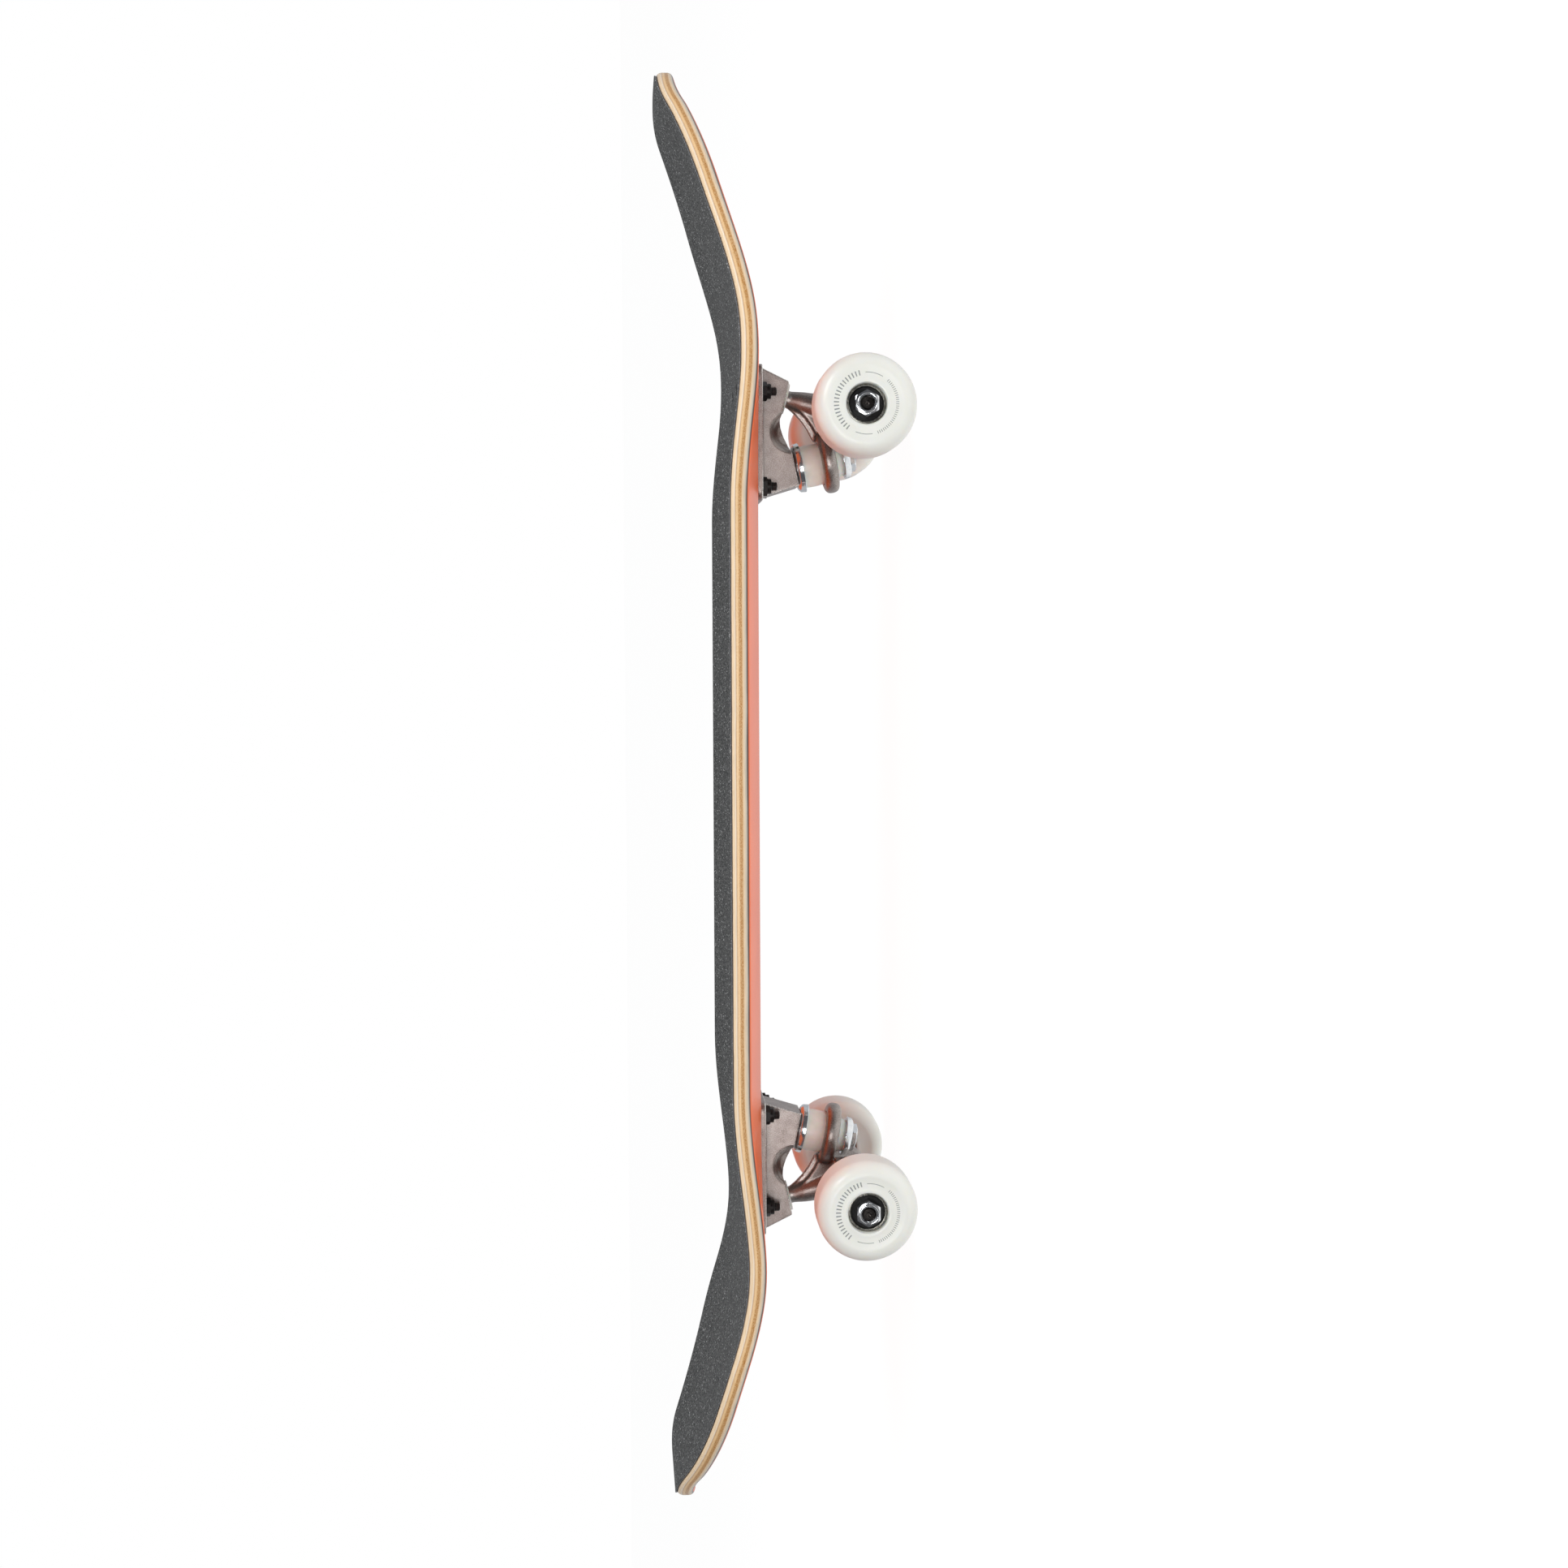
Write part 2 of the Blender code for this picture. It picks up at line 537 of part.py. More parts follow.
def hanger_mesh():
    """The cast hanger: yoke ring, arm, pivot stem with its ball nose, and the axle beam."""
    half = RING_THICKNESS / 2.0
    ring_profile = [(0.0, half), (RING_RADIUS - 3.0, half), (RING_RADIUS, half - 2.6)]
    ring_profile += [(RING_RADIUS, 2.6 - half), (RING_RADIUS - 3.0, -half), (0.0, -half)]
    ring_frame = axis_matrix(RING_POINT, KINGPIN_DIRECTION)
    hanger = new_object("hanger", lathe_mesh("hanger", ring_profile, LARGE_ROUND))
    hanger.data.transform(ring_frame)

    along = (AXLE_POINT - RING_POINT).normalized()
    across = Vector((0.0, 1.0, 0.0))
    arm_frame = Matrix((along, across, along.cross(across))).transposed().to_4x4()
    arm_frame.translation = RING_POINT * MM
    boolean(hanger, new_object("arm", arm_mesh(), None, arm_frame), "UNION")

    beam_profile = [(0.0, -HANGER_HALF_WIDTH), (7.6, -HANGER_HALF_WIDTH), (8.4, -HANGER_HALF_WIDTH + 1.0)]
    beam_profile += [(8.8, -60.0), (11.0, -22.0), (11.0, 22.0), (8.8, 60.0)]
    beam_profile += [(8.4, HANGER_HALF_WIDTH - 1.0), (7.6, HANGER_HALF_WIDTH), (0.0, HANGER_HALF_WIDTH)]
    beam_frame = axis_matrix(AXLE_POINT, (0.0, 1.0, 0.0), (0.0, 0.0, 1.0))
    beam = lathe_mesh("beam", beam_profile, MEDIUM_ROUND)
    boolean(hanger, new_object("beam", beam, None, beam_frame), "UNION")

    stem_profile = [(0.0, -PIVOT_BALL_RADIUS)]
    for angle in (-65.0, -40.0, -15.0, 12.0):
        turn = math.radians(angle)
        radius = PIVOT_BALL_RADIUS * math.cos(turn)
        stem_profile.append((radius, PIVOT_BALL_RADIUS * math.sin(turn)))
    stem_profile += [(5.0, 3.4), (5.0, 7.0), (6.4, 14.0), (9.0, 36.0), (0.0, 36.0)]
    stem = lathe_mesh("stem", stem_profile, MEDIUM_ROUND)
    boolean(hanger, new_object("stem", stem, None, PIVOT_FRAME), "UNION")

    gusset = [(21.0, 17.5), (17.0, 22.2), (12.3, 26.8), (7.4, 30.3), (2.0, 33.1), (-3.0, 35.4)]
    gusset += [(-4.5, 44.0), (6.0, 50.0), (16.0, 50.0), (22.0, 30.0)]
    boolean(hanger, side_prism("gusset", gusset, 3.0, 1.0), "UNION")

    web = 2.0
    seat_high = RING_HEIGHT + half
    seat_low = RING_HEIGHT - half
    bore = [(0.0, seat_high + 24.0), (14.6, seat_high + 24.0), (14.6, seat_high), (11.0, seat_high)]
    bore += [(10.6, RING_HEIGHT + web), (7.5, RING_HEIGHT + web), (7.5, RING_HEIGHT - web)]
    bore += [(12.0, RING_HEIGHT - web), (12.4, seat_low), (16.0, seat_low - 8.0), (0.0, seat_low - 8.0)]
    boolean(hanger, new_object("bore", lathe_mesh("bore", bore, LARGE_ROUND), None, KINGPIN_FRAME), "DIFFERENCE")
    axle_bore = rod_mesh("axle_bore", AXLE_RADIUS + RUNNING_GAP, -90.0, 90.0)
    boolean(hanger, new_object("axle_bore", axle_bore, None, beam_frame), "DIFFERENCE")
    mesh = hanger.data
    bpy.data.objects.remove(hanger)
    return mesh


# ---- Kingpin stack ----

LOWER_WASHER = (BOSS_HEIGHT + 0.3, BOSS_HEIGHT + 2.2)
UPPER_WASHER = (54.5, 56.2)
LOWER_BUSHING = (LOWER_WASHER[1] + 0.3, RING_HEIGHT - 2.3)
UPPER_BUSHING = (RING_HEIGHT + 2.3, UPPER_WASHER[0] - 0.3)
KINGPIN_NUT = (UPPER_WASHER[1] + 0.3, UPPER_WASHER[1] + 3.5)


def kingpin_mesh():
    profile = [(0.0, 2.4), (7.2, 2.4), (7.2, 6.2), (KINGPIN_RADIUS, 6.2)]
    profile += [(KINGPIN_RADIUS, KINGPIN_LENGTH - 1.0), (KINGPIN_RADIUS - 1.0, KINGPIN_LENGTH)]
    profile += [(0.0, KINGPIN_LENGTH)]
    return lathe_mesh("kingpin", profile, MEDIUM_ROUND)


def cup_washer_mesh(low, high, radius, lip):
    """A dished washer. lip is how far its rim stands past high (+) or below low (-)."""
    bore = KINGPIN_RADIUS + RUNNING_GAP
    inner_low, inner_high = (low, high) if lip > 0 else (high, low)
    profile = [(bore, inner_low), (radius - 1.0, inner_low), (radius, inner_high), (radius, inner_high + lip)]
    profile += [(radius - 1.4, inner_high + lip), (radius - 1.9, inner_high), (bore, inner_high)]
    return lathe_mesh("washer", profile, MEDIUM_ROUND)


def bushing_mesh(low, high, radius, waist):
    """A urethane bushing whose sides bulge from radius at its ends to waist at its middle."""
    bore = KINGPIN_RADIUS + RUNNING_GAP * 2.0
    middle = (low + high) / 2.0
    profile = [(bore, low), (radius - 0.8, low), (radius, low + 0.9), (waist, middle)]
    profile += [(radius, high - 0.9), (radius - 0.8, high), (bore, high)]
    return lathe_mesh("bushing", profile, MEDIUM_ROUND)


def cup_mesh():
    """The pivot cup: a urethane socket for the hanger's ball nose, with a flange outside its bore."""
    wall = CUP_BORE_RADIUS - CLEARANCE
    socket = PIVOT_BALL_RADIUS + 0.3
    face = PIVOT_FACE + CLEARANCE
    profile = [(0.0, -CUP_BORE_DEPTH + 0.3), (wall, -CUP_BORE_DEPTH + 0.3), (wall, face), (10.2, face)]
    profile += [(10.2, face + 1.4), (socket, face + 1.4), (socket, 0.0)]
    for angle in (25.0, 50.0, 70.0):
        turn = math.radians(angle)
        profile.append((socket * math.cos(turn), -socket * math.sin(turn)))
    profile.append((0.0, -socket))
    return lathe_mesh("pivot_cup", profile, MEDIUM_ROUND)


# ---- Axle, wheels and bearings ----


def axle_mesh():
    end = AXLE_HALF_LENGTH
    tip = AXLE_RADIUS - 0.8
    profile = [(0.0, -end), (tip, -end), (AXLE_RADIUS, 0.8 - end), (AXLE_RADIUS, end - 0.8)]
    return lathe_mesh("axle", profile + [(tip, end), (0.0, end)], SMALL_ROUND)


def wheel_mesh():
    """The urethane tyre cast round its core, open right through, with a bearing seat at each side."""
    rim = WHEEL_RADIUS / math.cos(math.pi / WHEEL_SEGMENTS)
    side = WHEEL_HALF_WIDTH
    seat = BEARING_RADIUS + RUNNING_GAP
    outer = [(9.4, BEARING_SEAT), (seat, BEARING_SEAT), (seat + 0.8, side - 0.5), (20.0, side)]
    outer += [(rim - 3.6, side - 3.0), (rim - 1.1, side - 6.3), (rim, side - 9.5)]
    profile = outer + [(radius, -height) for radius, height in reversed(outer)]
    return lathe_mesh("wheel", profile, WHEEL_SEGMENTS, 0.5)


def bearing_mesh():
    """Outer race and both shields, with an opening where the inner race turns."""
    half = BEARING_WIDTH / 2.0
    outer = [(BEARING_RADIUS, half), (9.4, half), (9.4, half - 0.4), (5.7, half - 0.4)]
    profile = outer + [(radius, -height) for radius, height in reversed(outer)]
    return lathe_mesh("bearing", profile, MEDIUM_ROUND)


def sleeve_mesh():
    """Speed washers, inner races and the spacer between them, which all stay still on the axle."""
    bore = AXLE_RADIUS + RUNNING_GAP
    half = BEARING_SEAT + BEARING_WIDTH + 0.1
    outer = [(bore, half + 0.6), (5.4, half + 0.6), (5.4, half), (5.3, BEARING_SEAT), (5.0, BEARING_SEAT)]
    profile = outer + [(radius, -height) for radius, height in reversed(outer)]
    return lathe_mesh("sleeve", profile, SMALL_ROUND)


def make_wheel(name, parent, to_parent, side, meshes):
    """One wheel with its two bearings, on an empty that sits on its spin axis."""
    centre = AXLE_POINT + Vector((0.0, side * TRACK / 2.0, 0.0))
    hub = new_empty(f"{name}_spin_axis", parent, to_parent @ Matrix.Translation(centre * MM))
    finish(new_object(f"{name}_wheel", meshes["wheel"], hub, ALONG_Y), "wheel")
    for where, step in (("outboard", side), ("inboard", -side)):
        offset = step * (BEARING_SEAT + BEARING_WIDTH / 2.0 + 0.1)
        shift = Matrix.Translation(Vector((0.0, offset, 0.0)) * MM) @ ALONG_Y
        finish(new_object(f"{name}_bearing_{where}", meshes["bearing"], hub, shift), "shield")


# ---- Whole truck ----

KINGPIN_STACK = (
    ("kingpin", "black_steel"),
    ("bushing_boardside", "bushing"),
    ("bushing_roadside", "bushing"),
    ("washer_boardside", "zinc"),
    ("washer_roadside", "zinc"),
)


def truck_meshes():
    """Every shape of a truck, made once and shared by both trucks."""
    nut_height = KINGPIN_NUT[1] - KINGPIN_NUT[0]
    return {
        "baseplate": baseplate_mesh(),
        "hanger": hanger_mesh(),
        "pivot_cup": cup_mesh(),
        "kingpin": kingpin_mesh(),
        "kingpin_nut": hex_nut_mesh(KINGPIN_NUT_FLATS, nut_height, KINGPIN_RADIUS + RUNNING_GAP, 1.0),
        "bushing_boardside": bushing_mesh(*LOWER_BUSHING, 11.0, 12.1),
        "bushing_roadside": bushing_mesh(*UPPER_BUSHING, 9.8, 10.1),
        "washer_boardside": cup_washer_mesh(*LOWER_WASHER, 14.4, 1.2),
        "washer_roadside": cup_washer_mesh(*UPPER_WASHER, 11.6, -0.8),
        "axle": axle_mesh(),
        "axle_nut": hex_nut_mesh(AXLE_NUT_FLATS, AXLE_NUT_HEIGHT, AXLE_RADIUS + RUNNING_GAP, 2.0),
        "wheel": wheel_mesh(),
        "bearing": bearing_mesh(),
        "sleeve": sleeve_mesh(),
    }


def make_truck(end_name, frame, meshes):
    """One truck under its frame: fixed pieces first, then what turns on the steering axis."""
    finish(new_object(f"{end_name}_baseplate", meshes["baseplate"], frame), "cast_aluminium")
    finish(new_object(f"{end_name}_pivot_cup", meshes["pivot_cup"], frame, PIVOT_FRAME), "urethane_cup")
    for piece, finish_name in KINGPIN_STACK:
        finish(new_object(f"{end_name}_{piece}", meshes[piece], frame, KINGPIN_FRAME), finish_name)
    at_nut = KINGPIN_FRAME @ Matrix.Translation(Vector((0.0, 0.0, KINGPIN_NUT[0])) * MM)
    finish(new_object(f"{end_name}_kingpin_nut", meshes["kingpin_nut"], frame, at_nut), "zinc")

    steer_frame = axis_matrix(BALL_POINT, STEER_DIRECTION)
    steer = new_empty(f"{end_name}_steer_axis", frame, steer_frame)
    to_steer = steer_frame.inverted()
    finish(new_object(f"{end_name}_hanger", meshes["hanger"], steer, to_steer), "cast_aluminium")
    on_axle = to_steer @ Matrix.Translation(AXLE_POINT * MM) @ ALONG_Y
    finish(new_object(f"{end_name}_axle", meshes["axle"], steer, on_axle), "steel")
    for local_side in (1.0, -1.0):
        world_side = local_side * (frame.matrix_basis.to_3x3() @ Vector((0.0, 1.0, 0.0))).y
        name = f"{end_name}_{'left' if world_side > 0.0 else 'right'}"
        make_wheel(name, steer, to_steer, local_side, meshes)
        hub = Matrix.Translation(Vector((0.0, 0.0, local_side * TRACK / 2.0)) * MM)
        finish(new_object(f"{name}_spacer_sleeve", meshes["sleeve"], steer, on_axle @ hub), "steel")
        outwards = Matrix.Rotation(0.0 if local_side > 0.0 else math.pi, 4, "X")
        seat = Matrix.Translation(Vector((0.0, 0.0, NUT_SEAT)) * MM)
        nut_place = on_axle @ outwards @ seat
        finish(new_object(f"{name}_axle_nut", meshes["axle_nut"], steer, nut_place), "zinc")


def make_trucks():
    meshes = truck_meshes()
    for end_name, end, turn_axis in (("front", 1.0, "X"), ("rear", -1.0, "Y")):
        place = Matrix.Translation(Vector((truck_x(end), 0.0, DECK_UNDERSIDE)) * MM)
        frame = new_empty(f"{end_name}_truck", None, place @ Matrix.Rotation(math.pi, 4, turn_axis))
        make_truck(end_name, frame, meshes)


def main():
    clear_scene()
    make_deck()
    make_grip()
    make_mounting_hardware()
    make_trucks()


main()
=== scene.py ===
"""The finished look of the street skateboard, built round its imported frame.

Metres, +Z up, +X to the nose and +Y to the rider's left, as in the frame. Sizes below are in
millimetres and are multiplied by MM where they are used; only the lights are placed in metres.
Each truck piece is made once, in the truck's own frame: origin on the deck's underside at the
middle of the bolt pattern, x outwards to the tip of the deck, z down into the truck. Both trucks
use the same meshes.
"""

import math

import bmesh
import bpy
from mathutils import Matrix, Vector


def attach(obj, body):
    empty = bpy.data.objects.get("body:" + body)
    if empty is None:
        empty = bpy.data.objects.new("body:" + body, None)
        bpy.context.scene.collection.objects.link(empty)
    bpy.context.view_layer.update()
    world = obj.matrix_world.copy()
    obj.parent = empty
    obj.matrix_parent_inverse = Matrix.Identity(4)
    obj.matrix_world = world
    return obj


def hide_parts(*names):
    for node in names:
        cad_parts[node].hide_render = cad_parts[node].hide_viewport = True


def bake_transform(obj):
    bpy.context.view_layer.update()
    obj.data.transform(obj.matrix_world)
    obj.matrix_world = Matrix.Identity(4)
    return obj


MM = 0.001
SHARP_ANGLE = 32.0

# Deck. A kick leaves the flat at start, bends up on radius to angle, then eases off. The dish is
# shallowest at dip, with dip_share of its full depth.
DECK_LENGTH = 825.0
DECK_WIDTH = 215.9
PLY_THICKNESS = 9.8
DECK_EDGE_RADIUS = 3.4
GRIP_THICKNESS = 0.9
GRIP_INSET = 2.0
FLAT_HALF_WIDTH = 32.0
EDGE_RISE = 10.0
DISH_POWER = 1.8
DISH_FADE_LENGTH = 106.0
KICK_DISH_SHARE = 0.61
KICK_DISH_LENGTH = 70.0
NOSE = {
    "start": 216.1, "radius": 371.6, "angle": 27.0,
    "ease": 0.0114, "dip": 268.6, "dip_share": 0.127,
}
TAIL = {
    "start": 246.1, "radius": 287.6, "angle": 28.7,
    "ease": 0.0170, "dip": 262.7, "dip_share": 0.096,
}
NOSE_TAPER = {"start": 233.5, "power": 2.38}
TAIL_TAPER = {"start": 304.3, "power": 1.79}
DECK_STATIONS = 170
DECK_ROWS = 26
DECK_END_TURN = 0.035 * math.pi
DECK_TIP_SHARE = 0.9998
DECK_TIP_HALF_WIDTH = 3.0
EDGE_STEPS = 7
DECK_HOLE_RADIUS = 2.75
GRIP_HOLE_RADIUS = 4.56
GRIP_GAP = 0.03

# Trucks and wheels
DECK_UNDERSIDE = 83.0
TRUCK_MIDDLE = {"front": 204.9, "rear": -212.3}
AXLE_DROP = 55.0
AXLE_OUTBOARD = 12.2
WHEEL_RADIUS = 28.0
WHEEL_HALF_WIDTH = 16.5
TRACK = 175.0
BOLT_SPACING_X = 53.98
BOLT_SPACING_Y = 41.28
BOLT_RADIUS = 2.4
BOLT_HEAD_RADIUS = 4.5
NUT_ALLOWANCE = 5.7
BOLT_PAST_NUT = 3.0
RECESS_LENGTH = 5.2
RECESS_WIDTH = 1.0
RECESS_DEPTH = 1.5
SEAT_GAP = 0.05
FLANGE_INNER = -35.0
FLANGE_OUTER = 42.4
FLANGE_HALF_WIDTH = 28.0
FLANGE_BOTTOM = 3.1
CORE_HALF_WIDTH = 13.5
SCOOP_CENTRE = (5.0, 20.8)
SCOOP_RADIUS = 12.2
SCOOP_FLOOR = 2.0
KINGPIN_LEAN = 11.5
KINGPIN_FOOT = -20.3
KINGPIN_RADIUS = 4.76
BOSS_HEIGHT = 23.8
RING_HEIGHT = 43.4
RING_THICKNESS = 8.6
RING_RADIUS = 18.0
PIVOT_BALL = (26.0, 13.8)
PIVOT_LEAN = 14.0
PIVOT_BALL_RADIUS = 6.0
PIVOT_FACE = 4.0
HANGER_HALF_WIDTH = 74.5
AXLE_RADIUS = 3.97
AXLE_HALF_LENGTH = 105.6
BEARING_SEAT = 5.1
BEARING_WIDTH = 7.0
BEARING_RADIUS = 10.95
BASEPLATE_VOXEL = 0.5
BASEPLATE_PASSES = 3
HANGER_VOXEL = 0.55
HANGER_PASSES = 7

SIDES = {"left": 1.0, "right": -1.0}
ENDS = {"front": 1.0, "rear": -1.0}

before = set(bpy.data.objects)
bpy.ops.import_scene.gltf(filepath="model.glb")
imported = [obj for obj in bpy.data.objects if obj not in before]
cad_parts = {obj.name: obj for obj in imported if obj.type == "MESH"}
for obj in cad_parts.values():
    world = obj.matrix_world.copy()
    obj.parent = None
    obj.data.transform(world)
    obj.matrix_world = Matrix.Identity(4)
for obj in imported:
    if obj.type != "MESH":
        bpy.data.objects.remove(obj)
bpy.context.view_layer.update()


# ---- Materials ----


class Nodes:
    """A node tree under construction. Most methods add nodes and return an output."""

    def __init__(self, tree):
        self.tree = tree

    def add(self, kind, **settings):
        node = self.tree.nodes.new(kind)
        for key, value in settings.items():
            setattr(node, key, value)
        return node

    def put(self, value, socket):
        """Links an output, or sets a plain value, on an input socket."""
        if isinstance(value, bpy.types.NodeSocket):
            self.tree.links.new(value, socket)
        elif isinstance(value, tuple) and len(value) == 3 and socket.type == "RGBA":
            socket.default_value = (*value, 1.0)
        else:
            socket.default_value = value

    def math(self, operation, first, second=0.0, third=0.0):
        node = self.add("ShaderNodeMath", operation=operation)
        for value, socket in zip((first, second, third), node.inputs):
            self.put(value, socket)
        return node.outputs["Value"]

    def spread(self, value, low, high, to_low=0.0, to_high=1.0):
        """Maps low..high to to_low..to_high, held at both ends."""
        node = self.add("ShaderNodeMapRange")
        for number, socket in zip((value, low, high, to_low, to_high), node.inputs):
            self.put(number, socket)
        return node.outputs["Result"]

    def ramp(self, value, stops):
        """A colour ramp from (place, colour) stops."""
        node = self.add("ShaderNodeValToRGB")
        points = node.color_ramp.elements
        while len(points) < len(stops):
            points.new(0.5)
        for point, (where, colour) in zip(points, stops):
            point.position = where
            point.color = (*colour, 1.0)
        self.put(value, node.inputs["Fac"])
        return node.outputs["Color"]

    def mix(self, share, first, second, blend="MIX"):
        node = self.add("ShaderNodeMix", data_type="RGBA", blend_type=blend)
        colours = [socket for socket in node.inputs if socket.type == "RGBA"]
        self.put(share, node.inputs["Factor"])
        self.put(first, colours[0])
        self.put(second, colours[1])
        return next(socket for socket in node.outputs if socket.type == "RGBA")

    def mottle(self, pattern, low, high, first, second):
        """A colour that turns from first to second as the pattern goes from low to high."""
        return self.mix(self.spread(pattern, low, high), first, second)


class Finish(Nodes):
    """A Principled material under construction."""

    def __init__(self, name, colour, roughness, metallic=0.0):
        self.material = bpy.data.materials.new(name)
        self.material.use_nodes = True
        super().__init__(self.material.node_tree)
        self.shader = self.tree.nodes["Principled BSDF"]
        self.shader.inputs["Base Color"].default_value = (*colour, 1.0)
        self.shader.inputs["Roughness"].default_value = roughness
        self.shader.inputs["Metallic"].default_value = metallic

    def drive(self, name, value):
        self.put(value, self.shader.inputs[name])

    def set(self, **values):
        """Plain numbers for the shader, where specular_ior_level stands for Specular IOR Level."""
        for key, value in values.items():
            socket = key.replace("_", " ").title().replace("Ior", "IOR")
            self.shader.inputs[socket].default_value = value

    def place(self, scale=(1.0, 1.0, 1.0)):
        """The object's own coordinates, stretched by scale."""
        mapping = self.add("ShaderNodeMapping")
        self.put(self.add("ShaderNodeTexCoord").outputs["Object"], mapping.inputs["Vector"])
        self.put(Vector(scale), mapping.inputs["Scale"])
        return mapping.outputs["Vector"]

    def noise(self, size, detail=2.0, vector=None, roughness=0.5):
        """Noise whose features are about size millimetres."""
        node = self.add("ShaderNodeTexNoise")
        self.put(vector or self.place(), node.inputs["Vector"])
        self.put(1.0 / (size * MM), node.inputs["Scale"])
        self.put(detail, node.inputs["Detail"])
        self.put(roughness, node.inputs["Roughness"])
        return node.outputs["Fac"]

    def cells(self, size, stretch=(1.0, 1.0, 1.0)):
        """(distance, random value) of cells about size millimetres across."""
        node = self.add("ShaderNodeTexVoronoi")
        self.put(self.place(stretch), node.inputs["Vector"])
        self.put(1.0 / (size * MM), node.inputs["Scale"])
        split = self.add("ShaderNodeSeparateColor")
        self.put(node.outputs["Color"], split.inputs["Color"])
        return node.outputs["Distance"], split.outputs["Red"]

    def attribute(self, name):
        return self.add("ShaderNodeAttribute", attribute_name=name).outputs["Fac"]

    def bump(self, height, depth, strength=1.0):
        """Raises the surface by depth millimetres where height is 1."""
        node = self.add("ShaderNodeBump")
        self.put(strength, node.inputs["Strength"])
        self.put(depth * MM, node.inputs["Distance"])
        self.put(height, node.inputs["Height"])
        self.drive("Normal", node.outputs["Normal"])

    def axis_distance(self):
        """(distance, turn, height) of a point about the object's own Z axis, in millimetres."""
        split = self.add("ShaderNodeSeparateXYZ")
        self.put(self.place((1.0 / MM, 1.0 / MM, 1.0 / MM)), split.inputs["Vector"])
        x, y = split.outputs["X"], split.outputs["Y"]
        squares = self.math("ADD", self.math("MULTIPLY", x, x), self.math("MULTIPLY", y, y))
        return self.math("SQRT", squares), self.math("ARCTAN2", y, x), split.outputs["Z"]


# (depth under the deck's top in millimetres, colour)
PLY_AND_HIGHLIGHT_BANDS = (
    (0.00, (0.28, 0.21, 0.16)),
    (0.55, (0.48, 0.34, 0.23)),
    (0.80, (0.98, 0.75, 0.50)),
    (2.15, (0.98, 0.74, 0.50)),
    # painted highlight: a near-white band where the rounded top edge faces the light
    (2.50, (1.00, 0.88, 0.72)),
    (3.20, (0.64, 0.39, 0.22)),
    (3.70, (0.90, 0.60, 0.32)),
    (4.40, (0.88, 0.56, 0.28)),
    (4.95, (0.52, 0.25, 0.075)),
    (6.30, (0.50, 0.235, 0.075)),
    (6.75, (0.86, 0.63, 0.40)),
    (7.60, (0.80, 0.65, 0.48)),
    (8.50, (0.58, 0.53, 0.46)),
    (8.80, (0.22, 0.18, 0.15)),
    (9.20, (0.12, 0.08, 0.07)),
)
PAINT_FROM = 9.25
BLACK = (0.0, 0.0, 0.0)
WHITE = (1.0, 1.0, 1.0)


def maple_finish():
    """Clear-sealed plies along the edge with a painted highlight band, and coral stain and varnish
    on the underside.
    """
    made = Finish("maple_plies", (0.8, 0.6, 0.4), 0.34)
    depth = made.attribute("depth")
    wander = made.spread(made.noise(30.0, 2.0), 0.3, 0.7, -0.12, 0.12)
    held = made.math("DIVIDE", made.math("ADD", depth, wander), PLY_THICKNESS)
    # the plies' colours, with the painted highlight band at 2.5 mm among them
    plies = made.ramp(held, [(at / PLY_THICKNESS, colour) for at, colour in PLY_AND_HIGHLIGHT_BANDS])
    fibres = made.noise(1.1, 4.0, made.place((0.10, 0.6, 2.2)), 0.65)
    pores = made.noise(0.4, 2.0, made.place((0.40, 1.0, 1.0)), 0.6)
    light = made.spread(fibres, 0.30, 0.70, 0.84, 1.10)
    crossed = made.spread(depth, 2.9, 3.4)
    crossed = made.math("MULTIPLY", crossed, made.spread(depth, 6.9, 6.4))
    speckle = made.math("MULTIPLY", crossed, made.spread(pores, 0.40, 0.64, 0.0, 0.42))
    shade = made.ramp(light, [(0.0, BLACK), (1.0, WHITE)])
    grained = made.mix(1.0, plies, shade, "MULTIPLY")
    grained = made.mix(speckle, grained, (0.93, 0.72, 0.44))
    streak = made.noise(45.0, 3.0)
    stain = made.mottle(streak, 0.35, 0.65, (0.92, 0.170, 0.048), (0.87, 0.152, 0.042))
    painted = made.spread(depth, PAINT_FROM, PAINT_FROM + 0.25)
    made.drive("Base Color", made.mix(painted, grained, stain))
    made.set(roughness=0.24, specular_ior_level=0.15)
    made.bump(made.math("MULTIPLY", fibres, made.math("SUBTRACT", 1.0, painted)), 0.05, 0.35)
    return made.material


def grip_finish():
    """Black silicon carbide grit, where a few grains are painted light grey as glints."""
    made = Finish("grip_grit", (0.05, 0.05, 0.05), 0.9)
    distance, chance = made.cells(0.55, (1.0, 0.4, 1.0))
    _, fine = made.cells(0.42, (1.0, 0.5, 1.0))
    # Painted glints: a few random grains get a light grey colour and lower roughness.
    bright = made.spread(chance, 0.95, 0.99)
    glint = made.math("MAXIMUM", bright, made.spread(fine, 0.88, 0.97, 0.0, 0.35))
    grit = made.spread(made.noise(1.1, 2.0, made.place((1.0, 0.4, 1.0)), 0.7), 0.36, 0.64)
    ground = made.mix(grit, (0.016, 0.017, 0.017), (0.098, 0.099, 0.097))
    cut_edge = made.attribute("depth")
    ground = made.mix(cut_edge, ground, (0.20, 0.21, 0.23))
    made.drive("Base Color", made.mix(glint, ground, (0.40, 0.40, 0.40)))
    made.drive("Roughness", made.spread(glint, 0.0, 1.0, 0.92, 0.35))
    made.bump(made.math("SUBTRACT", 1.0, distance), 0.30, 0.8)
    return made.material


